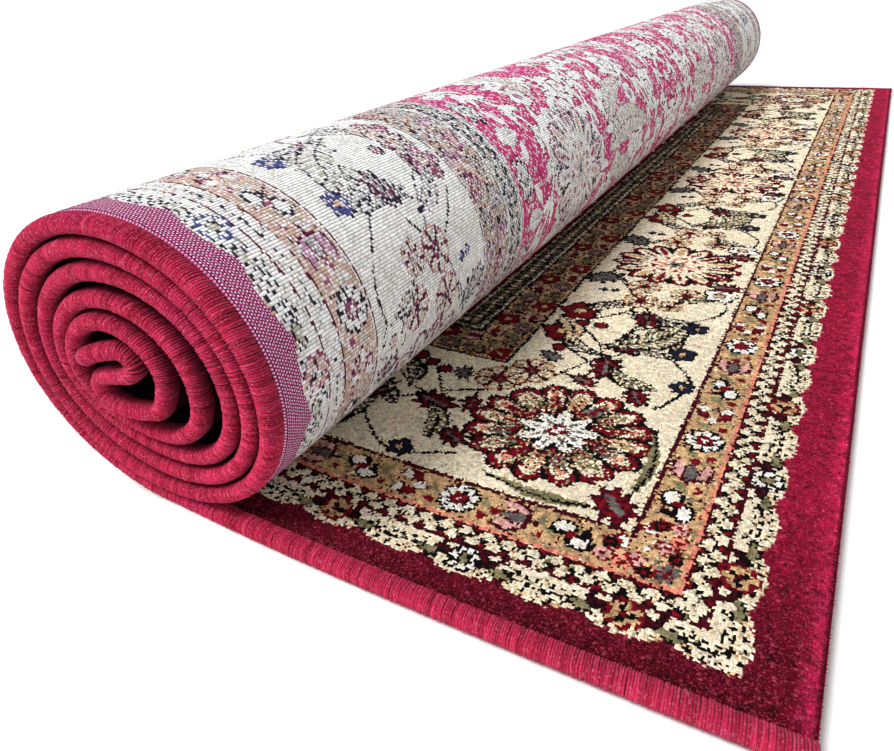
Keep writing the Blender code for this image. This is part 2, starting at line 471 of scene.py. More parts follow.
# A pointed leaf that starts at x, y.
def blade(c, x, y, length, width, turn=0.0, bend=0.0):
    co, si = math.cos(math.radians(turn)), math.sin(math.radians(turn))
    along = (c.x - x) * co + (c.y - y) * si
    across = (c.y - y) * co - (c.x - x) * si
    share = np.clip(along / length, 0, 1)
    half = width / 2 * np.sin(math.pi * share ** 0.75)
    return (along > 0) & (along < length) & (np.abs(across - bend * length * np.sin(math.pi * share)) < half)


def line(c, points, width):
    near = np.full(c.x.shape, 1.0)
    for (ax, ay), (bx, by) in zip(points, points[1:]):
        dx, dy = bx - ax, by - ay
        t = np.clip(((c.x - ax) * dx + (c.y - ay) * dy) / (dx * dx + dy * dy), 0, 1)
        near = np.minimum(near, np.hypot(c.x - ax - t * dx, c.y - ay - t * dy))
    return near < width / 2


# The border's many-petalled round flower.
def grandRose(c, size=1.0, stretch=1.0, ring="wine"):
    c = c.sized(size, stretch)
    ink = c.ink
    c.paint(petals(c, 16, 0.026, 0.0576 + 0.0018 * ink, 0.0092 + 0.0022 * ink), "black")
    c.paint(petals(c, 16, 0.028, 0.0576, 0.0094), ring)
    c.paint(petals(c, 16, 0.020, 0.0520, 0.0066), "cream")
    for k, fill in enumerate(("gold", "wine", "olive", "grey")):
        c.paint(petals(c, 4, 0.021, 0.0478, 0.0044, 22.5 * k), fill)
    c.paint(petals(c, 8, 0.041, 0.0490, 0.0026, 22.5), "salmon")
    c.paint(petals(c, 16, 0.022, 0.0450, 0.0015), "wine")
    c.paint(petals(c, 8, 0.034, 0.0440, 0.0010, 0), "cream")
    c.paint(petals(c, 16, 0.022, 0.0550, 0.0008 + 0.0012 * ink, 11.25), "black")
    c.paint(oval(c, 0, 0, 0.0275), ring)
    c.paint(petals(c, 8, 0.003, 0.0248 + 0.0026 * ink, 0.0054 + 0.0034 * ink, 8), "black")
    c.paint(petals(c, 8, 0.005, 0.0244, 0.0044, 8), "white")
    c.paint(petals(c, 8, 0.019, 0.0275, 0.0015, 30.5), "wine")
    c.paint(petals(c, 8, 0.006, 0.0170, 0.0011, 8), "grey")
    c.paint(oval(c, 0, 0, 0.0050), "wine")
    c.paint(oval(c, 0, 0, 0.0024), "white")
    stray = np.random.default_rng(7).random(c.x.size)
    body = petals(c, 16, 0.018, 0.0565, 0.0090)
    for share, name in ((0.08, "black"), (0.15, "wine"), (0.21, "gold"), (0.29, "cream"), (0.34, "olive")):
        c.paint(body & (stray < share) & (stray > share - 0.06), name)


# The later roses: open cream petals with dark outlines.
def openRose(c, size=1.0, stretch=1.0):
    c = c.sized(size, stretch)
    ink = c.ink
    c.paint(petals(c, 15, 0.010, 0.0570 + 0.0022 * ink, 0.0088 + 0.0026 * ink, 4), "black")
    c.paint(petals(c, 15, 0.010, 0.0576, 0.0084, 4), "wine")
    c.paint(petals(c, 15, 0.014, 0.0535, 0.0060, 4), "cream")
    c.paint(petals(c, 5, 0.028, 0.0520, 0.0034, 28), "wine")
    c.paint(petals(c, 15, 0.026, 0.0470, 0.0018, 4), "wine")
    c.paint(petals(c, 5, 0.030, 0.0500, 0.0030, 4), "gold")
    c.paint(petals(c, 15, 0.030, 0.0560, 0.0008 + 0.0012 * ink, 16), "black")
    c.paint(oval(c, 0, 0, 0.0230), "wine")
    c.paint(petals(c, 9, 0.004, 0.0235, 0.0052, 12), "cream")
    c.paint(petals(c, 9, 0.006, 0.0190, 0.0020, 12), "salmon")
    c.paint(petals(c, 5, 0.001, 0.0095, 0.0026, 30), "grey")
    c.paint(oval(c, 0, 0, 0.0028), "black")


# A small open flower.
def bloom(c, petal="wine", heart="gold", size=1.0, edge="black", count=5, turn=18):
    c = c.sized(size)
    ink = c.ink
    c.paint(petals(c, count, 0.001, 0.0130 + 0.0020 * ink, 0.0047 + 0.0019 * ink, turn), edge)
    c.paint(petals(c, count, 0.002, 0.0130, 0.0047, turn), petal)
    c.paint(oval(c, 0, 0, 0.0036 + 0.0016 * ink), edge)
    c.paint(oval(c, 0, 0, 0.0036), heart)


# A flower drawn as an open ring of short petals.
def ringFlower(c, petal="wine", size=1.0):
    c = c.sized(size)
    c.paint(petals(c, 7, 0.0035, 0.0128, 0.0054, 10), petal)
    c.paint(petals(c, 7, 0.0035, 0.0122, 0.0044, 10), "gold")
    c.paint(petals(c, 7, 0.0030, 0.0128, 0.0011, 35), "maroon")
    c.paint(petals(c, 7, 0.0052, 0.0108, 0.0025, 10), "cream")
    c.paint(petals(c, 7, 0.0062, 0.0096, 0.0009, 10), "olive")
    c.paint(oval(c, 0, 0, 0.0040), petal)
    c.paint(oval(c, 0, 0, 0.0022), "black")


# A flower from the side, opening along +x.
def tulip(c, petal="pink", cup="grey", size=1.0, edge="maroon"):
    c = c.sized(size)
    ink = 0.4 + 0.6 * c.ink
    for side in (-1, 1):
        c.paint(blade(c, -0.009, 0, 0.0190 + 0.0025 * ink, 0.0075 + 0.0030 * ink,
                      side * 26, side * 0.10), edge)
        c.paint(blade(c, -0.008, 0, 0.0190, 0.0075, side * 26, side * 0.10), petal)
    c.paint(blade(c, -0.010, 0, 0.0165 + 0.0025 * ink, 0.0062 + 0.0028 * ink), edge)
    c.paint(blade(c, -0.009, 0, 0.0165, 0.0062), cup)
    c.paint(line(c, ((-0.013, 0), (-0.008, 0)), 0.0026), edge)


# A feathered leaf with a dark vein, along +x from the patch's middle.
def ribbonLeaf(c, fill="olive", length=0.045, width=0.014, bend=0.15, edge="black", ribs=True):
    rim = 0.0040 * c.ink
    c.paint(blade(c, -rim * 0.4, 0, length + rim, width + rim, 0, bend), edge)
    inside = blade(c, 0, 0, length, width, 0, bend)
    c.paint(inside, fill)
    share = np.clip(c.x / length, 0, 1)
    off = c.y - bend * length * np.sin(math.pi * share)
    if ribs:
        c.paint(inside & ((c.x + np.abs(off) * 0.9) % 0.0056 < 0.0022), "cream")
        c.paint(inside & ((c.x + np.abs(off) * 0.9) % 0.0112 > 0.0098), edge)
    c.paint(inside & (np.abs(off) < 0.0004 + 0.0006 * c.ink), edge)


# A dark leaf with a ragged edge, longer along x.
def knotCluster(c, fill="wine", edge="black", size=1.0):
    c = c.sized(size)
    ripple = 1 + 0.20 * np.sin(np.arctan2(c.y, c.x) * 9 + 0.6)
    r = np.hypot(c.x / 0.0165, c.y / 0.0112) / ripple
    c.paint(r < 0.78 + 0.22 * c.ink, edge)
    c.paint((r < 0.78) & ((np.abs(c.x) + np.abs(c.y)) % 0.0072 < 0.0044), fill)
    c.paint((r < 0.60) & (np.abs(c.y) < 0.0016), "grey")


# Two pointed lobes either side of a narrow waist.
def bowLeaf(c, fill="wine"):
    rim = 0.0042 * c.ink
    for turn in (0, 180):
        way = 1 if turn == 0 else -1
        c.paint(blade(c, 0.001 * way, 0, 0.0100 + rim, 0.0085 + rim, turn), "black")
        c.paint(blade(c, 0.003 * way, 0, 0.0100, 0.0078, turn), fill)


# A spiral tendril with a bud at its heart and leaves along its outer turn.
def scroll(c, radius, turns=1.35, start=0.0, side=1, width=0.0060, fill="white", edge="maroon"):
    count = 26
    points = []
    for k in range(count + 1):
        t = k / count
        angle = math.radians(start) + side * math.tau * turns * t
        r = radius * (1 - 0.78 * t ** 0.85)
        points.append((r * math.cos(angle), r * math.sin(angle)))
    c.paint(line(c, points, width + 0.0022), edge)
    for k in (1, 4, 7, 10, 14):
        (x, y), (nx, ny) = points[k], points[k + 1]
        way = math.degrees(math.atan2(ny - y, nx - x))
        for lean in (-42, 42):
            c.paint(blade(c, x, y, 0.0225, 0.0098, way + lean), edge)
            c.paint(blade(c, x, y, 0.0205, 0.0076, way + lean), fill)
    c.paint(line(c, points, width), fill)
    c.paint(petals(c.placed(c.x - points[-1][0], c.y - points[-1][1]), 5, 0.001, 0.0112, 0.0052), edge)
    c.paint(petals(c.placed(c.x - points[-1][0], c.y - points[-1][1]), 5, 0.001, 0.0100, 0.0040), fill)
    c.paint(oval(c, *points[-1], 0.0026), "pink")


# The plain edge, the scalloped guard and the toothed band. c.y is from the rug's edge.
def edgeBands(c, seed):
    size = pattern["scallopPitch"]
    order = np.floor(c.x / size + 0.5).astype(int) % 4          # rose, swag, flower, swag
    outer = 0.0344 - 0.0070 * np.abs(np.cos(math.pi * c.x / size)) ** 0.55
    depth = c.y - outer
    guard = (c.y < 0.0458) & (depth > 0)
    swag = guard & (order % 2 == 1)
    woven = c.ink < 1
    c.paint(guard, "white" if woven else "maroon")
    c.paint(guard & (seed < (0.16 if woven else 0.40)), "black")
    c.paint(guard & woven & (seed > 0.90), "grey")
    c.paint(swag, "cream")
    c.paint(swag & (seed > 0.90), "olive")
    for row, place in enumerate((0.0020, 0.0052, 0.0084, 0.0116)):
        dash = (c.x + 0.0029 * row) % 0.0058 < 0.0034
        c.paint(swag & (np.abs(depth - place) < 0.0009) & dash, "black")
    c.paint(guard & (order == 0) & (depth < 0.0036), "cream")
    c.paint(guard & (order == 0) & (np.abs(depth - 0.0020) < 0.0008) & (c.x % 0.0052 < 0.0030), "black")
    c.paint(guard & (order == 2) & (depth < 0.0066), "cream")
    c.paint(guard & (order == 2) & (depth > 0.0042) & (depth < 0.0066) & (seed > 0.45), "gold")
    c.paint(guard & (order == 2) & (np.abs(depth - 0.0026) < 0.0008) & (c.x % 0.0056 < 0.0026), "black")
    c.paint(guard & (depth < 0.0014) & (seed > 0.78), "gold")
    if not woven:
        ribbon = guard & (depth < 0.0068)
        c.paint(guard & (depth > 0.0068) & (depth < 0.0082), "black")
        c.paint(ribbon, "cream")
        c.paint(ribbon & (seed > 0.84), "gold")
        c.paint(ribbon & (np.abs(depth - 0.0034) < 0.0012) & ((c.x + depth * 1.3) % 0.0068 < 0.0027), "black")
    c.paint(guard & (c.y > 0.0424) & (fold(c.x - 0.003, 0.0110) < 0.0034), "cream")
    last = c.x.max() + size if len(c.x) else 0.0
    for i, x in enumerate(np.arange(0.0, last, size)):
        if i % 4 == 0:
            rose = c.patch(x, 0.0378, 0.014)
            rose.paint(petals(rose, 7, 0.002, 0.0092, 0.0040), "blue" if woven else "black")
            rose.paint(petals(rose, 7, 0.003, 0.0082, 0.0018), "white")
            rose.paint(oval(rose, 0, 0, 0.0042), "black")
            rose.paint(oval(rose, 0, 0, 0.0030), "olive")
        elif i % 4 == 2:
            rose = c.patch(x, 0.0390, 0.016)
            rose.paint(petals(rose, 6, 0.001, 0.0096, 0.0044, 90), "wine")
            rose.paint(petals(rose, 6, 0.002, 0.0080, 0.0022, 90), "gold")
            rose.paint(petals(rose, 3, 0.001, 0.0060, 0.0016, 60), "black")
        cusp = c.patch(x + size / 2, 0.0372, 0.012)
        cusp.paint(blade(cusp, -0.007, -0.002, 0.0150, 0.0080, 8), "black")
        cusp.paint(blade(cusp, -0.006, -0.002, 0.0130, 0.0050, 8), "olive")
        cusp.paint(oval(cusp, 0.0005, 0.0036, 0.0024), "cream")
    tooth = pattern["toothPitch"]
    band = (c.y > 0.0478) & (c.y < 0.0592)
    c.paint((c.y > 0.0592) & (c.y < 0.0604), "maroon")
    if woven:
        c.paint((c.y > 0.0604) & (c.y < 0.0624), "gold")
        c.paint(band & (seed > 0.90), "grey")
        c.paint(band & (seed < 0.06), "gold")
        c.paint(band & (np.abs(c.y - 0.0535) < 0.0007) & (seed < 0.45), "black")
        return
    c.paint(band & (seed > 0.93), "gold")
    c.paint(band & (seed < 0.07), "olive")
    c.paint(band & (c.y - 0.0478 < 0.0062 - fold(c.x, tooth) * 1.50), "black")
    c.paint(band & (c.y - 0.0478 < 0.0034 - fold(c.x, tooth) * 1.55), "wine")
    c.paint(band & (0.0592 - c.y < 0.0058 - fold(c.x + tooth / 2, tooth) * 1.40), "black")
    c.paint(band & (0.0592 - c.y < 0.0026 - fold(c.x + tooth / 2, tooth) * 1.45), "wine")
    c.paint(band & (np.abs(c.y - 0.0532) < 0.0010) & (fold(c.x + tooth / 4, tooth / 2) < 0.0012), "black")


# Alternate little flowers along the gold guard, joined by an olive stem.
def guardFlowers(c, middle, start, stop):
    pitch = pattern["guardPitch"]
    for i, x in enumerate(np.arange(start, stop, pitch)):
        half = c.patch(x + pitch / 2, middle, 0.016)
        half.paint(line(half, curve(((-0.010, -0.006), (0, 0.001), (0.010, -0.004))), 0.0017), "olive")
        half.paint(blade(half, 0.0, 0.0, 0.0085, 0.0046, 70), "olive")
        half.paint(oval(half, -0.0010, -0.0072, 0.0027), "wine")
        p = c.patch(x, middle, 0.018)
        kind = i % 4
        if kind == 2:
            p.paint(petals(p, 9, 0.003, 0.0122, 0.0046), "black")
            p.paint(petals(p, 9, 0.005, 0.0108, 0.0022), "white")
            p.paint(oval(p, 0, 0, 0.0056), "black")
            p.paint(petals(p, 5, 0.001, 0.0058, 0.0018), "wine")
            p.paint(oval(p, 0, 0, 0.0014), "white")
        elif kind == 1:
            tulip(p, "pink", "grey", 1.05, "maroon")
            p.paint(oval(p, 0.0095, 0.0, 0.0030), "wine")
        elif kind == 0:
            for s in (-1, 1):
                p.paint(oval(p, s * 0.0052, s * 0.0038, 0.0076, 0.0060), "black")
                p.paint(oval(p, s * 0.0054, s * 0.0042, 0.0050, 0.0034), "white")
            p.paint(oval(p, 0.0006, 0, 0.0030), "wine")
            p.paint(oval(p, -0.0070, 0.0040, 0.0026), "black")
        else:
            tulip(p, "wine", "gold", 0.95, "maroon")
            p.paint(petals(p, 3, 0.004, 0.0112, 0.0026, 180), "white")


# Two staggered rows of small flowers, crowded, on the inner guard.
def innerFlowers(c, stop):
    pitch = pattern["innerPitch"]
    for i, x in enumerate(np.arange(0.232, stop, pitch)):
        for row, y in enumerate((0.2346, 0.2532)):
            p = c.patch(x + row * pitch / 2, y, 0.015)
            kind = (i + 2 * row) % 4
            if kind == 0:
                bloom(p, "wine", "gold", 0.78, "maroon", 5, 40)
            elif kind == 1:
                knotCluster(p, "olive", "maroon", 0.62)
            elif kind == 2:
                bloom(p, "grey", "salmon", 0.62, "maroon", 6, 10)
            else:
                tulip(p, "pink", "wine", 0.80, "black")
            p.paint(oval(p, 0.0085, 0.0050, 0.0024), "olive")
            p.paint(oval(p, -0.0085, -0.0040, 0.0024), "black")


# Crossed dark stitches with light centres.
def narrowGuard(c, seed):
    pitch = pattern["narrowPitch"]
    band = (c.y > 0.2650) & (c.y < 0.2870)
    x = (c.x + pitch / 2) % pitch - pitch / 2
    y = c.y - 0.2762
    c.paint(band & (seed < 0.30), "olive")
    c.paint(band & (seed > 0.72), "black")
    c.paint(band & (np.abs(np.abs(x) * 1.3 - np.abs(y)) < 0.0019), "black")
    c.paint(band & (np.abs(x) + np.abs(y) * 0.8 < 0.0026), "cream")
    c.paint(band & (pitch / 2 - np.abs(x) + np.abs(y) * 0.8 < 0.0024), "gold")
    c.paint(band & (np.abs(y) > 0.0088) & (seed > 0.4), "cream")


# What stands between two roses, from the first rose on. mirrored ones also stand before the second.
# Columns: kind, along, across, turn, fill, size.
cornerMotifs = (
    ("knotCluster", 0.0860, 0.1560, 10, "wine", 1.00),
    ("bowLeaf", 0.1080, 0.2000, 20, "wine", 1.00),
    ("ringFlower", 0.0600, 0.2020, 0, "wine", 1.35),
    ("knotCluster", 0.0600, 0.2020, 30, "wine", 0.40),
    ("ringFlower", 0.0400, 0.2120, 30, "wine", 0.95),
    ("knotCluster", 0.0860, 0.1980, 60, "grey", 0.60),
    ("knotCluster", 0.0560, 0.1260, 30, "wine", 0.72),
    ("knotCluster", 0.0620, 0.1640, 75, "wine", 0.62),
    ("leaf", 0.0700, 0.1180, 62, "olive", 0.80),
    ("leaf", 0.1100, 0.1420, 20, "grey", 0.75),
    ("bloom", 0.0800, 0.1020, 0, "blue", 0.60),
)
roseMotifs = (
    ("ringFlower", 0.0600, 0.1700, 0, "wine", 1.15),
    ("ringFlower", 0.0660, 0.1330, 30, "wine", 1.10),
    ("ringFlower", 0.0900, 0.1650, 0, "wine", 1.15),
    ("ringFlower", 0.0930, 0.1400, 20, "wine", 0.85),
    ("bowLeaf", 0.0780, 0.1960, 80, "blue", 0.62),
    ("bloom", 0.0560, 0.1075, 20, "white", 1.00),
    ("knotCluster", 0.0380, 0.1060, 80, "wine", 0.80),
    ("knotCluster", 0.0520, 0.2090, 60, "grey", 1.10),
    ("leaf", 0.0700, 0.1100, 60, "olive", 0.60),
)
middleMotifs = (
    ("leaf", 0.0280, 0.1180, 138, "olive", 1.50),
    ("leaf", 0.0300, 0.1160, 82, "grey", 1.00),
    ("leaf", 0.0060, 0.2160, 205, "gold", 1.00),
    ("bowLeaf", 0.0000, 0.1880, 90, "wine", 1.00),
    ("bloom", 0.0200, 0.2050, 0, "wine", 1.15),
    ("knotCluster", 0.0240, 0.1500, 20, "wine", 0.85),
    ("leaf", 0.0240, 0.2000, 300, "grey", 0.80),
    ("bloom", 0.0220, 0.1120, 0, "blue", 0.70),
)


def setMotif(c, kind, along, across, turn, fill, size, way):
    p = c.patch(along, across, 0.062 * max(size, 0.5))
    p = p.placed(p.x * way, p.y).turned(turn)
    if kind == "bloom":
        bloom(p, fill, "gold", size)
    elif kind == "ringFlower":
        ringFlower(p, fill, size)
    elif kind == "knotCluster":
        knotCluster(p, fill, "black", size)
    elif kind == "bowLeaf":
        bowLeaf(p.sized(size), fill)
    else:
        ribbonLeaf(p, fill, 0.052 * size, 0.015 * size)


# Grand roses on a cream ground, with stems, leaves and small flowers between them.
def mainBorder(c, half, count, cornerShape):
    first, across = pattern["firstRose"], pattern["roseAcross"]
    pitch = (half - first) / count
    stems = (
        ((0.045, 0.112), (0.085, 0.098), (0.12, 0.122), (0.147, 0.157)),
        ((0.050, 0.190), (0.085, 0.172), (0.115, 0.150), (0.147, 0.157)),
        ((0.030, 0.208), (0.062, 0.186), (0.070, 0.165), (0.112, 0.168), (0.147, 0.200)),
        ((0.090, 0.172), (0.104, 0.192), (0.118, 0.206)),
    )
    for k in range(count + 1):
        rose = first + k * pitch
        for way in (-1, 1):
            if k == 0 and way < 0:
                continue
            reach = c.patch(rose + way * 0.08, across, 0.09)
            local = reach.placed((reach.x + way * 0.08) * way, reach.y + across)
            for stem in stems:
                local.paint(line(local, curve(stem), 0.0010 + 0.0011 * c.ink), "black")
            for kind, along, place, turn, fill, size in cornerMotifs if k == 0 else roseMotifs:
                setMotif(c, kind, rose + way * along, place, turn, fill, size, way)
        spot = c.patch(rose, across, 0.064)
        if k == 0:
            grandRose(spot.placed(spot.x / cornerShape[0], spot.y / cornerShape[1]))
        else:
            openRose(spot, 1.0, 0.84)
        for way in (-1, 1):
            for kind, along, place, turn, fill, size in middleMotifs:
                setMotif(c, kind, rose + pitch / 2 + way * along, place, turn, fill, size, way)


# What fills the corner of the cream border, and the corner of the gold guard outside it.
def cornerFlowers(c):
    knotCluster(c.patch(0.1055, 0.1055, 0.03, 45), "wine", "maroon", 0.92)
    p = c.patch(0.150, 0.1005, 0.05)
    p.paint(blade(p, -0.034, 0.0, 0.064, 0.0080, 4, -0.08), "olive")
    p.paint(line(p, curve(((-0.034, 0.000), (-0.004, -0.004), (0.032, 0.003))), 0.0018), "black")
    for x, y, petal in ((0.0700, 0.0775, "white"), (0.0850, 0.0735, "pink"), (0.0790, 0.0850, "white"),
                        (0.0955, 0.0830, "white"), (0.1010, 0.0710, "pink"), (0.0905, 0.0690, "salmon"),
                        (0.0695, 0.0680, "grey"), (0.0790, 0.0665, "black"), (0.0990, 0.0800, "black")):
        bloom(c.patch(x, y, 0.01), petal, "wine", 0.36, "wine", 5, 20)


fieldRoses = (
    (0.712, 0.418, 1.02), (0.430, 0.640, 1.00), (0.980, 0.640, 1.00),
    (0.450, 0.385, 0.78), (0.955, 0.380, 0.78),
)
fieldLeaves = (
    (0.712, 0.500, 90, 0.145, 0.030), (0.735, 0.510, 70, 0.110, 0.022), (0.690, 0.510, 108, 0.100, 0.022),
    (0.430, 0.560, 270, 0.100, 0.026), (0.520, 0.640, 12, 0.120, 0.026), (0.900, 0.640, 170, 0.110, 0.026),
    (0.560, 0.400, 0, 0.090, 0.024), (0.845, 0.420, 160, 0.085, 0.024), (0.350, 0.480, 80, 0.100, 0.026),
)


# A long white stem that sways along x, with a leaf to either side at each step.
def waveStem(c, y, phase, sway=0.016, length=0.160, step=0.0266):
    wave = sway * np.sin(math.tau * c.x / length + phase)
    c.paint(np.abs(c.y - y - wave) < 0.0030, "maroon")
    for k in range(10, 43):
        x = k * step
        turn = math.degrees(math.atan(sway * math.tau / length * math.cos(math.tau * x / length + phase)))
        leaf = c.patch(x, y + sway * math.sin(math.tau * x / length + phase), 0.028, turn)
        for lean in (-38, 38):
            leaf.paint(blade(leaf, 0, 0, 0.0255, 0.0100, lean), "maroon")
            leaf.paint(blade(leaf, 0, 0, 0.0240, 0.0080, lean), "white")
    c.paint(np.abs(c.y - y - wave) < 0.0021, "white")


# White stems, scrolls, leaves and roses over the red field. c.x is u and c.y is v, both folded.
def fieldPattern(c):
    step = 0.083
    for j in range(7):
        waveStem(c, 0.345 + j * step * 0.86, 1.3 * j)
    for i in range(10):
        for j in range(6):
            x = 0.345 + i * step + (0.5 * step if j % 2 else 0)
            y = 0.385 + j * step * 0.86
            side = 1 if (i + j) % 2 else -1
            p = c.patch(x, y, 0.050)
            scroll(p, 0.027, 1.25, 90 * (i + 2 * j) + 40, side, 0.0050)
            q = c.patch(x + step / 2, y, 0.03, 55 * (i + j))
            if (i * 3 + j) % 3 == 0:
                bloom(q, "cream", "pink", 1.05, "maroon", 6, 0)
            else:
                ribbonLeaf(q, "white", 0.030, 0.0125, 0.0, "grey", False)
    for x, y, turn, length, width in fieldLeaves:
        ribbonLeaf(c.patch(x, y, 0.16, turn), "olive", length, width, 0.10, "wine")
    for x, y, size in fieldRoses:
        p = c.patch(x, y, 0.07 * size)
        p.paint(petals(p.sized(size), 16, 0.020, 0.0620, 0.0110), "cream")
        openRose(p, size * 0.98)
    for i in range(14):
        x = 0.31 + i * 0.064
        knotCluster(c.patch(x, 0.303, 0.03, 0), "cream", "black", 1.10)
        ribbonLeaf(c.patch(x + 0.032, 0.300, 0.035, 90), "cream", 0.030, 0.015, 0.0, "grey")
        for k in (-1, 1):
            q = c.patch(x + 0.016 * k, 0.322, 0.02, 30 * k)
            q.paint(blade(q, -0.010, 0, 0.022, 0.0080), "white")


# The yarn of each knot, from its distance to the short edge and to the near long edge.
def chartKnots(u, v, back=False):
    knots = np.full(u.shape, yarnNumber["field"], np.int16)
    rng = np.random.default_rng(11)
    seed = rng.random(u.shape)
    ragged = rng.normal(0, pattern["ragged"] * (0.3 if back else 1.0), (2, u.size))
    ink = pattern["backInk"] if back else 1.0
    fu = np.minimum(u, sheet["length"] - u) + ragged[0]
    fv = np.minimum(v, sheet["width"] - v) + ragged[1]
    everything = np.arange(u.size)
    field = everything[(fu > 0.288) & (fv > 0.286)]
    if len(field):
        fieldPattern(Chart(fu[field], fv[field], knots, field, ink))
    fromLong = fv + pattern["longEdgeShift"]
    for short in (True, False):
        mine = (fu <= fromLong) if short else (fu > fromLong)
        if not mine.any():
            continue
        along, across = (fv, fu) if short else (fu, fromLong)
        c = Chart(along[mine], across[mine], knots, everything[mine], ink)
        start = 0.0
        for name, end, ground in bandRows:
            band = (c.y >= start) & (c.y < end)
            if back and name.endswith("Line") and name != "salmonLine":
                c.paint(band, "cream")
                c.paint(np.abs(c.y - (start + end) / 2) < pattern["backLine"] / 2, ground)
            else:
                c.paint(band, ground)
            start = end
        half = sheet["width" if short else "length"] / 2
        count = pattern["rosesShort" if short else "rosesLong"]
        mainBorder(c.only((c.y > 0.0916) & (c.y < 0.2226)), half, count,
                   (0.88, 1.0) if short else (1.0, 0.88))
        edges = c.only(c.y < 0.064)
        edgeBands(edges, seed[edges.index])
        guard = c.only((c.y > 0.0626) & (c.y < 0.0886))
        thread = seed[guard.index] + 0.16 * (fold(guard.x - 0.1185, pattern["guardPitch"]) > 0.0115)
        for share, name in ((0.20, "olive"), (0.16, "wine"), (0.12, "cream"), (0.07, "black")):
            guard.paint(thread < share, name)
        guardFlowers(guard, 0.0762, 0.1185, half + 0.02)
        cornerFlowers(c.only(c.y > 0.0640))
        inner = c.only((c.y > 0.2258) & (c.y < 0.2620))
        inner.paint(seed[inner.index] < 0.16, "olive")
        inner.paint(seed[inner.index] > 0.86, "maroon")
        inner.paint(seed[inner.index] > 0.92, "black")
        innerFlowers(inner, half + 0.02)
        narrow = c.only((c.y > 0.2650) & (c.y < 0.2870))
        narrowGuard(narrow, seed[narrow.index])
    return knots


# The visible faces: where each lies, and how large its knots are. Metres, along the sheet and along the roll.
# Columns: name, side, uStart, uEnd, vStart, vEnd, uKnot, vKnot.
faceRows = (
    ("pile_face_corner", "pile", 0.0008, 0.3240, None, 0.3000, 0.00135, 0.00135),
    ("pile_face_near", "pile", 0.0008, 0.3240, 0.3000, 0.7000, 0.0017, 0.0017),
    ("pile_face_far", "pile", 0.0008, 0.3240, 0.7000, None, 0.0024, 0.0032),
    ("back_face_corner", "back", 0.3340, 0.8640, None, 0.3000, 0.0018, 0.0012),
    ("back_face_near", "back", 0.3340, 0.8640, 0.3000, 0.7000, 0.0018, 0.0016),
    ("back_face_far", "back", 0.3340, 0.8640, 0.7000, None, 0.0018, 0.0037),
)
face = {"lift": 0.0012, "clear": 0.0002, "heightSpread": 0.00022, "stray": 0.34, "underWraps": 0.0016,
        "dip": 0.0011, "seed": 5}

pileYarns = {
    "red": (80, 3, 20), "maroon": (66, 5, 20), "black": (11, 7, 10), "cream": (250, 235, 208),
    "white": (253, 250, 242), "gold": (204, 165, 120), "salmon": (232, 140, 116), "olive": (132, 124, 90),
    "grey": (102, 96, 94), "wine": (114, 10, 25), "pink": (218, 164, 156), "blue": (30, 33, 52),
    "field": (134, 6, 40),
}
backYarns = {
    "red": (196, 44, 120), "maroon": (96, 26, 56), "black": (44, 40, 58), "cream": (238, 237, 236),
    "white": (244, 244, 244), "gold": (204, 172, 156), "salmon": (200, 146, 130), "olive": (178, 177, 160),
    "grey": (160, 160, 166), "wine": (150, 76, 108), "pink": (188, 136, 170), "blue": (74, 80, 138),
    "field": (206, 66, 126),
}
# How much of the pale weft shows among each yarn on the back.
weftShare = {"black": 0.26, "maroon": 0.14, "gold": 0.30, "salmon": 0.35, "olive": 0.45, "grey": 0.45,
             "wine": 0.45, "pink": 0.25, "blue": 0.22, "field": 0.26}
yarnRelief = {"black": -0.00030, "maroon": -0.00022, "cream": 0.00018, "white": 0.00020, "gold": 0.00012,
              "red": -0.00012}


# Uneven values, like in groups of three by three knots.
def clumps(rng, rows, columns):
    loose = rng.normal(0, 1, (rows + 2, columns + 2))
    return sum(loose[i:i + rows, j:j + columns] for i in range(3) for j in range(3)).ravel() / 3


# How uneven the knots' colours are, and how often a stray tuft shows.
tuft = {"spread": 0.20, "plainSpread": 0.26, "paleSpread": 0.11, "clump": 0.15, "paleClump": 0.03,
        "speckShare": 0.10, "speckMix": 0.22, "strawShare": 0.26, "strawMix": 0.50, "rawEdge": 0.0020,
        "rawTone": 0.30, "darkShare": 0.025, "darkTone": 0.55}
stitch = {"dullShare": 0.30, "dullMix": 0.45, "spread": 0.08, "clump": 0.05}


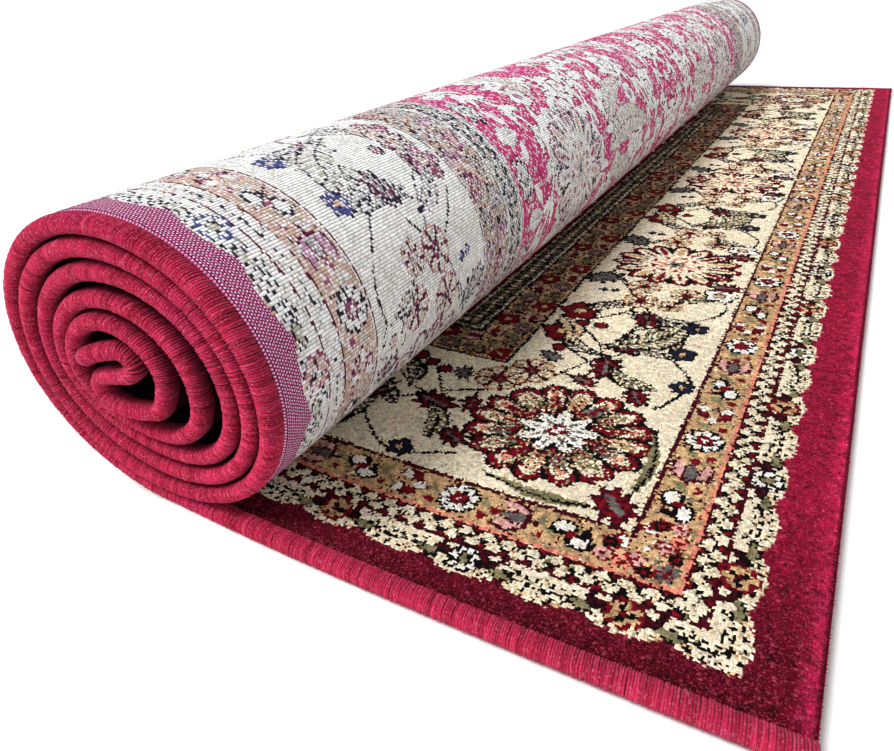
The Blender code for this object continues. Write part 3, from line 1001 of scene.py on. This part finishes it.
# Each knot's colour, with the dyeing's unevenness, the nap's painted sheen, painted shade on the red beside
# the binding, and odd stray tufts.
def knotColours(knots, side, u, v, clump, rng):
    table = pileYarns if side == "pile" else backYarns
    colours = np.array([linear(*table[name]) for name in yarnNames])[knots]
    plain = knots == yarnNumber["red"]
    if side == "pile":
        pale = np.isin(knots, [yarnNumber["cream"], yarnNumber["white"]])
        spread = np.where(plain, tuft["plainSpread"], tuft["spread"])
        spread = np.where(pale, tuft["paleSpread"], spread)
        uneven = clump * np.where(pale, tuft["paleClump"], tuft["clump"])
        tone = 1 + rng.normal(0, 1, len(knots)) * spread + uneven
        # painted sheen: the red pile lighter along the loose short edge, where its nap catches the light
        nap = np.clip((v - 0.04) / 0.10, 0, 1) * np.clip((0.052 - u) / 0.016, 0, 1)
        napSheenRed = np.array(linear(146, 14, 50))
        blend = (plain * (0.06 + 0.94 * nap))[:, None]
        colours = colours * (1 - blend) + napSheenRed * blend
        rim = (plain * np.clip((0.0115 - u) / 0.008, 0, 1) * 0.55)[:, None]
        colours = colours * (1 - rim) + np.array(linear(206, 36, 86)) * rim
        speck = (plain & (rng.random(len(knots)) < tuft["speckShare"]))[:, None] * tuft["speckMix"]
        colours = colours * (1 - speck) + np.array(linear(212, 84, 112)) * speck
        straw = (pale & (rng.random(len(knots)) < tuft["strawShare"]))[:, None] * tuft["strawMix"]
        colours = colours * (1 - straw) + np.array(linear(216, 186, 138)) * straw
        # painted shade: red knots darker under and beside the binding at the long edges
        edge = np.minimum(v, sheet["width"] - v)
        tone = tone * np.where(plain, 0.55 + 0.45 * np.clip((edge - 0.008) / 0.010, 0, 1), 1.0)
        tone = np.where(u < tuft["rawEdge"], tone * tuft["rawTone"], tone)
        dark = pale & (rng.random(len(knots)) < tuft["darkShare"])
        tone = np.where(dark, tuft["darkTone"], tone)
        return np.clip(colours * np.clip(tone, 0.3, 1.8)[:, None], 0, 1)
    share = np.array([weftShare.get(name, 0.0) for name in yarnNames])[knots]
    pale = np.array(linear(240, 236, 241))
    weft = rng.random(len(knots)) < share
    colours = np.where(weft[:, None], colours * 0.2 + pale * 0.8, colours)
    dull = ((rng.random(len(knots)) < stitch["dullShare"]) & ~plain)[:, None] * stitch["dullMix"]
    colours = colours * (1 - dull) + colours * np.array(linear(196, 200, 188)) * dull
    tone = 1 + rng.normal(0, stitch["spread"], len(knots)) + clump * stitch["clump"]
    return np.clip(colours * tone[:, None], 0, 1)


# A thin closed slab whose upper face has one facet for each knot.
def makeFace(name, side, uStart, uEnd, vStart, vEnd, uKnot, vKnot, material):
    rng = np.random.default_rng(face["seed"] + len(name))
    nearEdge, farEdge = vStart is None, vEnd is None
    vStart = sheetEdge - face["underWraps"] if nearEdge else vStart
    vEnd = sheet["width"] - sheetEdge + face["underWraps"] if farEdge else vEnd
    uCount, vCount = round((uEnd - uStart) / uKnot), round((vEnd - vStart) / vKnot)
    us, vs = np.linspace(uStart, uEnd, uCount + 1), np.linspace(vStart, vEnd, vCount + 1)
    middles = np.meshgrid((us[:-1] + us[1:]) / 2, (vs[:-1] + vs[1:]) / 2, indexing="ij")
    u, v = middles[0].ravel(), middles[1].ravel()
    knots = chartKnots(u, v, side == "back")
    relief = np.array([yarnRelief.get(n, 0.0) for n in yarnNames])[knots].reshape(uCount, vCount)
    padded = np.pad(relief, 1, mode="edge")
    corner = (padded[1:, 1:] + padded[:-1, 1:] + padded[1:, :-1] + padded[:-1, :-1]) / 4
    sign, top = (1, pileHeight) if side == "pile" else (-1, backHeight)
    height = corner + rng.normal(0, face["heightSpread"], corner.shape)
    if side == "back":
        height = height * 0.25
    if nearEdge:
        height[:, 0] -= face["dip"]
    if farEdge:
        height[:, -1] -= face["dip"]
    du = rng.uniform(-1, 1, corner.shape) * face["stray"] * uKnot
    dv = rng.uniform(-1, 1, corner.shape) * face["stray"] * vKnot
    for shift in (du, dv):
        shift[(0, -1), :] = 0
        shift[:, (0, -1)] = 0
    if side == "back":
        du, dv = du * 0.30, dv * 0.6
    clear = face["lift"] + face["dip"] - face["clear"]
    upper = np.zeros((uCount + 1, vCount + 1, 3))
    lowerEnds = np.zeros((uCount + 1, 2, 3))
    for j in range(vCount + 1):
        along = (vs[j] - sheetEdge) / (sheet["width"] - 2 * sheetEdge)
        line = Surface(along)
        upper[:, j] = line.at(us + du[:, j], top + sign * height[:, j])
        upper[:, j, 1] += dv[:, j]
        if j in (0, vCount):
            lowerEnds[:, 0 if j == 0 else 1] = line.at(us, top - sign * clear)
    points = ripple(np.vstack((upper.reshape(-1, 3), lowerEnds.reshape(-1, 3))))
    index = np.arange((uCount + 1) * (vCount + 1)).reshape(uCount + 1, vCount + 1)
    low = index.size + np.arange((uCount + 1) * 2).reshape(uCount + 1, 2)
    quads = np.stack((index[:-1, :-1], index[1:, :-1], index[1:, 1:], index[:-1, 1:]), axis=-1).reshape(-1, 4)
    under = np.stack((low[:-1, 0], low[:-1, 1], low[1:, 1], low[1:, 0]), axis=-1)
    nearWall = np.stack((index[:-1, 0], low[:-1, 0], low[1:, 0], index[1:, 0]), axis=-1)
    farWall = np.stack((index[:-1, -1], index[1:, -1], low[1:, 1], low[:-1, 1]), axis=-1)
    ends = [list(index[0]) + [low[0, 1], low[0, 0]], list(index[-1][::-1]) + [low[-1, 0], low[-1, 1]]]
    faces = [*quads.tolist(), *under.tolist(), *nearWall.tolist(), *farWall.tolist(), *ends]
    if side == "pile":
        faces = [f[::-1] for f in faces]
    made = newPiece(name, points, faces, material)
    colours = np.ones((len(faces), 4))
    colours[:, :3] = linear(70, 3, 20)
    colours[:len(knots), :3] = knotColours(knots, side, u, v, clumps(rng, uCount, vCount), rng)
    attribute = made.data.attributes.new("yarnColour", "FLOAT_COLOR", "FACE")
    attribute.data.foreach_set("color", colours.astype(np.float32).ravel())
    plain = np.zeros(len(faces), np.float32)
    plain[:len(knots)] = knots == yarnNumber["red"]
    made.data.attributes.new("plain", "FLOAT", "FACE").data.foreach_set("value", plain)
    layer = made.data.uv_layers.new(name="knots")
    grid = np.stack(np.meshgrid(np.arange(uCount + 1), np.arange(vCount + 1), indexing="ij"), axis=-1)
    flatGrid = np.vstack((grid.reshape(-1, 2), np.zeros((low.size, 2))))
    loops = np.zeros(len(made.data.loops), np.int32)
    made.data.loops.foreach_get("vertex_index", loops)
    layer.data.foreach_set("uv", (flatGrid[loops] + 0.001).astype(np.float32).ravel())
    print("face", name, len(knots), "knots")
    return made


# The sheet between its two faces: closed, on the route of the solid, a little thinner.
# Its painted-shade attribute is 1 where the surface faces into the roll, painting it near black as shade
# there, and 0 at the loose end.
def makeBody(material):
    lines = [Surface(a) for a in np.linspace(0, 1, 9)]
    low, high = backHeight + face["lift"], pileHeight - face["lift"]
    rings = []
    paintedRollShade = []
    count = 0
    for line in lines:
        total = line.u[-1]
        us = np.concatenate((np.linspace(0.0, 0.33, 34), np.linspace(0.336, total, 420)))
        count = len(us)
        rings.append(np.vstack((line.at(us, low), line.at(us[::-1], high))))
        # painted shade: 1 where the sheet faces into the roll
        inward = (np.clip((us - 0.84) / 0.05, 0, 1), np.clip((us[::-1] - 0.33) / 0.05, 0, 1))
        paintedRollShade.append(np.concatenate(inward))
    points = ripple(np.vstack(rings))
    faces = []
    ring = 2 * count
    for r in range(len(rings) - 1):
        for i in range(ring):
            j = (i + 1) % ring
            faces.append((r * ring + i, (r + 1) * ring + i, (r + 1) * ring + j, r * ring + j))
    for i in range(count - 1):
        faces.append((i, i + 1, ring - 2 - i, ring - 1 - i))
        base = (len(rings) - 1) * ring
        faces.append((base + i, base + ring - 1 - i, base + ring - 2 - i, base + i + 1))
    made = newPiece("sheet_body", points, faces, material)
    shade = made.data.attributes.new("paintedRollShade", "FLOAT", "POINT")
    shade.data.foreach_set("value", np.concatenate(paintedRollShade).astype(np.float32))
    print("body", len(faces), "faces")
    return made


binding = {"nearPitch": 0.00130, "farPitch": 0.00200, "strand": 0.00084, "lean": 0.14, "jitter": 0.046,
           "overlap": 0.0012, "roundness": 2.35, "seed": 3, "sides": 12, "strandSides": 4,
            "loosePitch": 0.046,
           "looseSpread": 0.42}
fringe = {"pitch": 0.0021, "length": 0.0012, "radius": 0.00055, "spread": 0.40,
          "heights": (0.0056, 0.0076), "seed": 8}


# A Geometry Nodes tree, built socket by socket.
class Nodes:
    def __init__(self, name, inputs):
        self.tree = bpy.data.node_groups.new(name, "GeometryNodeTree")
        face = self.tree.interface
        face.new_socket("Geometry", in_out="INPUT", socket_type="NodeSocketGeometry")
        for label, kind in inputs:
            face.new_socket(label, in_out="INPUT", socket_type=kind)
        face.new_socket("Geometry", in_out="OUTPUT", socket_type="NodeSocketGeometry")
        self.source = self.tree.nodes.new("NodeGroupInput")
        self.result = self.tree.nodes.new("NodeGroupOutput")

    def given(self, label):
        return self.source.outputs[label]

    def add(self, kind, settings=None, inputs=None, output=0):
        made = self.tree.nodes.new(kind)
        for name, value in (settings or {}).items():
            setattr(made, name, value)
        for name, value in (inputs or {}).items():
            self.put(made.inputs[name], value)
        return made.outputs[output]

    def put(self, socket, value):
        if isinstance(value, bpy.types.NodeSocket):
            self.tree.links.new(value, socket)
        else:
            socket.default_value = value

    # A random value for each point, from low to high.
    def rand(self, low, high, seedStep):
        made = self.tree.nodes.new("FunctionNodeRandomValue")
        self.put(made.inputs[2], low)
        self.put(made.inputs[3], high)
        self.put(made.inputs["ID"], self.add("GeometryNodeInputIndex"))
        self.put(made.inputs["Seed"], self.maths("ADD", self.given("Seed"), float(seedStep)))
        return made.outputs[1]

    # Places along a curve, pitch apart.
    def along(self, curve, pitch):
        points = self.tree.nodes.new("GeometryNodeCurveToPoints")
        points.mode = "LENGTH"
        self.put(points.inputs["Curve"], curve)
        self.put(points.inputs["Length"], pitch)
        return points.outputs["Points"], points.outputs["Tangent"]

    def joined(self, *parts):
        both = self.tree.nodes.new("GeometryNodeJoinGeometry")
        for part in parts:
            self.put(both.inputs[0], part)
        return both.outputs[0]

    # Instances made real, smooth and in their yarn, to the tree's output.
    def finish(self, geometry):
        real = self.add("GeometryNodeRealizeInstances", None, {"Geometry": geometry})
        smooth = self.add("GeometryNodeSetShadeSmooth", None, {"Geometry": real})
        done = self.add("GeometryNodeSetMaterial", None, {"Geometry": smooth, "Material": self.given("Yarn")})
        self.put(self.result.inputs["Geometry"], done)
        return self.tree

    def maths(self, operation, first, second=0.0):
        return self.add("ShaderNodeMath", {"operation": operation}, {0: first, 1: second})

    def vector(self, x=0.0, y=0.0, z=0.0):
        return self.add("ShaderNodeCombineXYZ", None, {0: x, 1: y, 2: z})

    def store(self, geometry, name, value, domain="POINT", kind="FLOAT"):
        return self.add("GeometryNodeStoreNamedAttribute", {"data_type": kind, "domain": domain},
                        {"Geometry": geometry, "Name": name, "Value": value})


# Overcast edging on a path: yarn loops set side by side over a plain core, and a few looser ones.
def wrapTree():
    t = Nodes("overcasting", (("Wrap pitch", "NodeSocketFloat"), ("Half width", "NodeSocketFloat"),
                              ("Half thickness", "NodeSocketFloat"), ("Strand radius", "NodeSocketFloat"),
                              ("Lean", "NodeSocketFloat"), ("Jitter", "NodeSocketFloat"),
                              ("Loose pitch", "NodeSocketFloat"), ("Loose spread", "NodeSocketFloat"),
                              ("Sides", "NodeSocketInt"), ("Strand sides", "NodeSocketInt"),
                              ("Seed", "NodeSocketInt"), ("Yarn", "NodeSocketMaterial")))
    route = t.given("Geometry")
    strand = t.given("Strand radius")
    # The loop: a rounded oblong, y across the edging and x through the sheet.
    loop = t.add("GeometryNodeCurvePrimitiveCircle", None, {"Resolution": t.given("Sides"), "Radius": 1.0})
    parts = t.tree.nodes.new("ShaderNodeSeparateXYZ")
    t.put(parts.inputs[0], t.add("GeometryNodeInputPosition"))
    x, y = parts.outputs[0], parts.outputs[1]
    power = binding["roundness"]
    reach = t.maths("POWER", t.maths("ADD", t.maths("POWER", t.maths("ABSOLUTE", x), power),
                                     t.maths("POWER", t.maths("ABSOLUTE", y), power)), -1 / power)
    halfX = t.maths("SUBTRACT", t.given("Half thickness"), strand)
    halfY = t.maths("SUBTRACT", t.given("Half width"), strand)
    shaped = t.add("GeometryNodeSetPosition", None, {
        "Geometry": loop,
        "Position": t.vector(t.maths("MULTIPLY", t.maths("MULTIPLY", x, reach), halfX),
                             t.maths("MULTIPLY", t.maths("MULTIPLY", y, reach), halfY), 0.0)})
    around = t.add("GeometryNodeSplineParameter", output="Factor")
    held = t.tree.nodes.new("GeometryNodeCaptureAttribute")
    held.capture_items.new("FLOAT", "around")
    t.put(held.inputs["Geometry"], shaped)
    t.put(held.inputs["around"], around)
    profile = t.add("GeometryNodeCurvePrimitiveCircle", None,
                    {"Resolution": t.given("Strand sides"), "Radius": 1.0})
    across = t.add("GeometryNodeSplineParameter", output="Factor")
    heldProfile = t.tree.nodes.new("GeometryNodeCaptureAttribute")
    heldProfile.capture_items.new("FLOAT", "across")
    t.put(heldProfile.inputs["Geometry"], profile)
    t.put(heldProfile.inputs["across"], across)
    sized = t.add("GeometryNodeTransform", None, {
        "Geometry": heldProfile.outputs["Geometry"], "Scale": t.vector(strand, strand, strand)})
    yarn = t.add("GeometryNodeCurveToMesh", None, {"Curve": held.outputs["Geometry"], "Profile Curve": sized})
    yarn = t.store(yarn, "strandPlace", t.vector(held.outputs["around"], heldProfile.outputs["across"], 0.0),
                   kind="FLOAT_VECTOR")

    # Loops pitch apart along the route, each turned to face along it and leaning.
    def wraps(pitch, lean, spread, grown, thin, tone, seedStep):
        points, tangent = t.along(route, pitch)
        turn = t.add("FunctionNodeAxesToRotation", {"primary_axis": "Z", "secondary_axis": "Y"},
                     {0: tangent, 1: (0.0, 1.0, 0.0)})
        back = t.maths("MULTIPLY", spread, -1.0)
        tilt = t.vector(t.maths("ADD", lean, t.rand(back, spread, seedStep)),
                        t.rand(back, spread, seedStep + 1), 0.0)
        tilted = t.add("FunctionNodeRotateRotation", {"rotation_space": "LOCAL"}, {
            "Rotation": turn, "Rotate By": t.add("FunctionNodeEulerToRotation", None, {0: tilt})})
        girth = t.rand(*grown, seedStep + 2)
        made = t.add("GeometryNodeInstanceOnPoints", None, {
            "Points": points, "Instance": yarn, "Rotation": tilted,
            "Scale": t.vector(girth, girth, t.rand(*thin, seedStep + 3))})
        return t.store(made, "wrapTone", t.rand(*tone, seedStep + 4), "INSTANCE")

    close = wraps(t.given("Wrap pitch"), t.given("Lean"), t.given("Jitter"),
                  (0.974, 1.018), (0.85, 1.20), (0.0, 1.0), 1)
    loose = wraps(t.given("Loose pitch"), t.given("Lean"), t.given("Loose spread"),
                  (1.015, 1.040), (0.35, 0.55),
                  (1.3, 1.6), 11)
    # The core that the loops are sewn over.
    bar = t.add("GeometryNodeSetPosition", None, {
        "Geometry": t.add("GeometryNodeCurvePrimitiveCircle", None, {"Resolution": 8, "Radius": 1.0}),
        "Position": t.vector(t.maths("MULTIPLY", x, t.maths("MULTIPLY", halfY, 0.92)),
                             t.maths("MULTIPLY", y, t.maths("MULTIPLY", halfX, 0.92)), 0.0)})
    core = t.add("GeometryNodeCurveToMesh", None, {"Curve": route, "Profile Curve": bar, "Fill Caps": True})
    return t.finish(t.joined(close, loose, core))


# Tufts that lean out along the pile's raw edge.
def fringeTree():
    t = Nodes("rawEdge", (("Tuft pitch", "NodeSocketFloat"), ("Tuft length", "NodeSocketFloat"),
                          ("Tuft radius", "NodeSocketFloat"), ("Spread", "NodeSocketFloat"),
                          ("Seed", "NodeSocketInt"), ("Yarn", "NodeSocketMaterial")))
    points, tangent = t.along(t.given("Geometry"), t.given("Tuft pitch"))
    tuft = t.add("GeometryNodeMeshCone", None, {
        "Vertices": 4, "Side Segments": 1, "Fill Segments": 1, "Radius Top": 0.00012,
        "Radius Bottom": t.given("Tuft radius"), "Depth": t.given("Tuft length")})
    back = t.maths("MULTIPLY", t.given("Spread"), -1.0)
    lean = t.vector(t.rand(back, t.given("Spread"), 1),
                    t.maths("ADD", t.rand(back, t.given("Spread"), 2), 1.15), 0.0)
    size = t.rand(0.6, 1.15, 3)
    tufts = t.add("GeometryNodeInstanceOnPoints", None, {
        "Points": points, "Instance": tuft, "Rotation": lean, "Scale": t.vector(size, size, size)})
    return t.finish(tufts)


def setInput(modifier, label, value):
    for item in modifier.node_group.interface.items_tree:
        if item.in_out == "INPUT" and item.name == label:
            modifier[item.identifier] = value


# A curve of plain splines, run through a tree, as a plain mesh piece.
def grownOnCurve(name, paths, tree, values):
    curve = bpy.data.curves.new(name + "Route", "CURVE")
    curve.dimensions = "3D"
    curve.twist_mode = "MINIMUM"
    for spots in paths:
        spline = curve.splines.new("POLY")
        spline.points.add(len(spots) - 1)
        spline.points.foreach_set("co", np.column_stack((spots, np.ones(len(spots)))).ravel())
    route = bpy.data.objects.new(name + "Route", curve)
    bpy.context.scene.collection.objects.link(route)
    modifier = route.modifiers.new("grown", "NODES")
    modifier.node_group = tree
    for label, value in values.items():
        setInput(modifier, label, value)
    graph = bpy.context.evaluated_depsgraph_get()
    mesh = bpy.data.meshes.new_from_object(route.evaluated_get(graph), depsgraph=graph)
    route.modifiers.remove(modifier)
    bpy.data.objects.remove(route, do_unlink=True)
    mesh.name = name
    made = bpy.data.objects.new(name, mesh)
    bpy.context.scene.collection.objects.link(made)
    print(name, len(mesh.polygons), "faces")
    return made


# Overcast yarn along one long edge, from the loose corner to the core.
def makeBinding(name, along, sides, strandSides, tree, material):
    line = sheetLine(along)
    inner = binding["overlap"] / 2
    if along < 0.5:
        y = line[:, 1] + sheet["bindingWidth"] / 2 + inner
    else:
        y = np.full(len(line), sheet["width"] - sheet["bindingWidth"] / 2 - inner)
    spots = ripple(np.column_stack((line[:, 0] - centreX, y - centreY, line[:, 2])))
    spots = spots[np.concatenate(([True], np.linalg.norm(np.diff(spots, axis=0), axis=1) > 1e-5))]
    made = grownOnCurve(name, [spots], tree, {
        "Wrap pitch": binding["nearPitch" if along < 0.5 else "farPitch"],
        "Half width": sheet["bindingWidth"] / 2 + inner,
        "Half thickness": sheet["bindingThick"] / 2, "Strand radius": binding["strand"],
        "Lean": binding["lean"],
        "Jitter": binding["jitter"], "Loose pitch": binding["loosePitch"],
        "Loose spread": binding["looseSpread"],
        "Sides": sides, "Strand sides": strandSides, "Seed": binding["seed"], "Yarn": material})
    paintStrandShade(made.data, spots, -1 if along < 0.5 else 1)
    return made


# Painted shade on the edging: 1 on the outside of each strand, 0 down between the strands, and less where two
# turns meet.
def paintStrandShade(mesh, spots, way):
    corners = np.zeros(len(mesh.vertices) * 3)
    mesh.vertices.foreach_get("co", corners)
    corners = corners.reshape(-1, 3)
    heading = np.gradient(spots[:, (0, 2)], axis=0)
    heading /= np.linalg.norm(heading, axis=1)[:, None]
    u = np.concatenate(([0.0], np.cumsum(np.hypot(np.diff(spots[:, 0]), np.diff(spots[:, 2])))))
    crestUnshaded = np.zeros(len(corners))
    for start in range(0, len(corners), 4000):
        block = corners[start:start + 4000]
        best = np.hypot(block[:, None, 0] - spots[None, :, 0],
                        block[:, None, 2] - spots[None, :, 2]).argmin(axis=1)
        offset = block - spots[best]
        height = offset[:, 0] * heading[best, 1] - offset[:, 2] * heading[best, 0]
        height = height / sheet["bindingThick"] * 2
        outward = offset[:, 1] * way / sheet["bindingWidth"] * 2
        power = binding["roundness"]
        reach = (np.abs(height) ** power + np.abs(outward) ** power) ** (1 / power)
        # painted shade: darker down between the strands and where two turns of the roll meet
        strand = np.clip((reach - 0.845) / 0.13, 0, 1)
        meets = np.where(height > 0, u[best] > 0.330, u[best] > 0.850)
        contactShade = np.clip((np.abs(height) - outward * 0.5 - 0.42) / 0.45, 0, 1) * meets
        crestUnshaded[start:start + 4000] = strand * (1 - 0.60 * contactShade)
    mesh.attributes.new("crestUnshaded", "FLOAT", "POINT").data.foreach_set("value", crestUnshaded.astype(np.float32))


# The fuzz of cut pile along the loose short edge.
def makeFringe(material):
    paths = []
    for height in fringe["heights"]:
        v = np.linspace(sheetEdge, sheet["width"] - sheetEdge, 200)
        x = np.full(200, sheet["flatReach"] - centreX - 0.0006)
        paths.append(ripple(np.column_stack((x, v - centreY, np.full(200, height)))))
    return grownOnCurve("raw_edge_fringe", paths, fringeTree(), {
        "Tuft pitch": fringe["pitch"], "Tuft length": fringe["length"], "Tuft radius": fringe["radius"],
        "Spread": fringe["spread"], "Seed": fringe["seed"], "Yarn": material})


sideYarn = sideMaterial()
bodyPiece = makeBody(sideYarn)
pileYarn, backYarn = pileMaterial(), backMaterial()
facePieces = [makeFace(*row, pileYarn if row[1] == "pile" else backYarn) for row in faceRows]
overcasting, edgeYarn = wrapTree(), bindingMaterial()
nearEdging = makeBinding("edging_near", 0.0, binding["sides"], binding["strandSides"], overcasting, edgeYarn)
farEdging = makeBinding("edging_far", 1.0, binding["sides"] - 2, binding["strandSides"] - 1,
                        overcasting, edgeYarn)
rawEdge = makeFringe(sideYarn)

for piece in [bodyPiece, rawEdge, *facePieces]:
    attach(piece, "root")
for piece in (nearEdging, farEdging):
    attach(piece, "root")
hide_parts("carpet")
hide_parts("binding_near")
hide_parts("binding_far")
print("pieces declared")

stage = {"floorSize": 90.0, "floorTone": 0.88, "sun": 3.3, "sunAngle": 22.0, "sunFrom": (-0.34, -0.42, 0.84),
         "fill": 5.0, "horizon": 1.0, "zenith": 0.40}


# A plain pale floor.
def makeFloor():
    half = stage["floorSize"] / 2
    g = Graph("paleFloor", 0.95, 0.0, (1.0, 1.0, 1.0))
    g.shader.inputs["Specular IOR Level"].default_value = 0.0
    tone = g.noise(g.place(), 2.0, 2.0, 0.5)
    colour = g.mix(tone, (stage["floorTone"],) * 3, (stage["floorTone"] * 1.02,) * 3)
    floor = newPiece("floor", [(-half, -half, 0), (half, -half, 0), (half, half, 0), (-half, half, 0)],
                     [(0, 1, 2, 3)], g.finish(colour), False)
    floor.location.z = -0.0004


# A lamp at a place, pointing at a target.
def lamp(name, kind, place, target, power, size):
    made = bpy.data.lights.new(name, kind)
    made.energy = power
    if kind == "SUN":
        made.angle = math.radians(size)
    else:
        made.shape = "DISK"
        made.size = size
    holder = bpy.data.objects.new(name, made)
    holder.location = place
    holder.rotation_mode = "QUATERNION"
    holder.rotation_quaternion = (Vector(target) - Vector(place)).to_track_quat("-Z", "Y")
    bpy.context.scene.collection.objects.link(holder)


# Soft light from all round, brightest at the horizon.
def makeWorld():
    world = bpy.data.worlds.new("studio")
    world.use_nodes = True
    tree = world.node_tree
    coord = tree.nodes.new("ShaderNodeTexCoord")
    parts = tree.nodes.new("ShaderNodeSeparateXYZ")
    fade = tree.nodes.new("ShaderNodeMapRange")
    fade.inputs["From Max"].default_value = 0.6
    fade.inputs["To Min"].default_value = stage["horizon"]
    fade.inputs["To Max"].default_value = stage["zenith"]
    tree.links.new(coord.outputs["Generated"], parts.inputs[0])
    tree.links.new(parts.outputs[2], fade.inputs["Value"])
    tree.links.new(fade.outputs[0], tree.nodes["Background"].inputs["Strength"])
    tree.nodes["Background"].inputs["Color"].default_value = (1.0, 1.0, 1.0, 1.0)
    bpy.context.scene.world = world


# The photo's view: above the loose end's near corner, looking along the roll and down.
def makeCamera():
    yaw, pitch, roll = (math.radians(a) for a in (30.603, 30.017, -3.443))
    view = Vector((-math.sin(yaw) * math.cos(pitch), math.cos(yaw) * math.cos(pitch), -math.sin(pitch)))
    right = Vector((math.cos(yaw), math.sin(yaw), 0.0))
    up = right.cross(view)
    levelRight = math.cos(roll) * right + math.sin(roll) * up
    levelUp = -math.sin(roll) * right + math.cos(roll) * up
    lens = bpy.data.cameras.new("camera")
    lens.sensor_width = 36.0
    lens.lens = 712.88 / 894 * 36.0
    lens.clip_start = 0.01
    camera = bpy.data.objects.new("camera", lens)
    camera.matrix_world = Matrix((levelRight, levelUp, -view)).transposed().to_4x4()
    camera.location = (0.30345 - centreX, -0.18712 - centreY, 0.26240)
    bpy.context.scene.collection.objects.link(camera)
    bpy.context.scene.camera = camera


makeFloor()
lamp("sun", "SUN", stage["sunFrom"], (0.0, 0.0, 0.0), stage["sun"], stage["sunAngle"])
lamp("fill", "AREA", (1.6, -1.6, 1.6), (0.0, -0.3, 0.1), stage["fill"], 1.6)
makeWorld()
bpy.context.scene.view_settings.view_transform = "Standard"
makeCamera()
print("stage set")
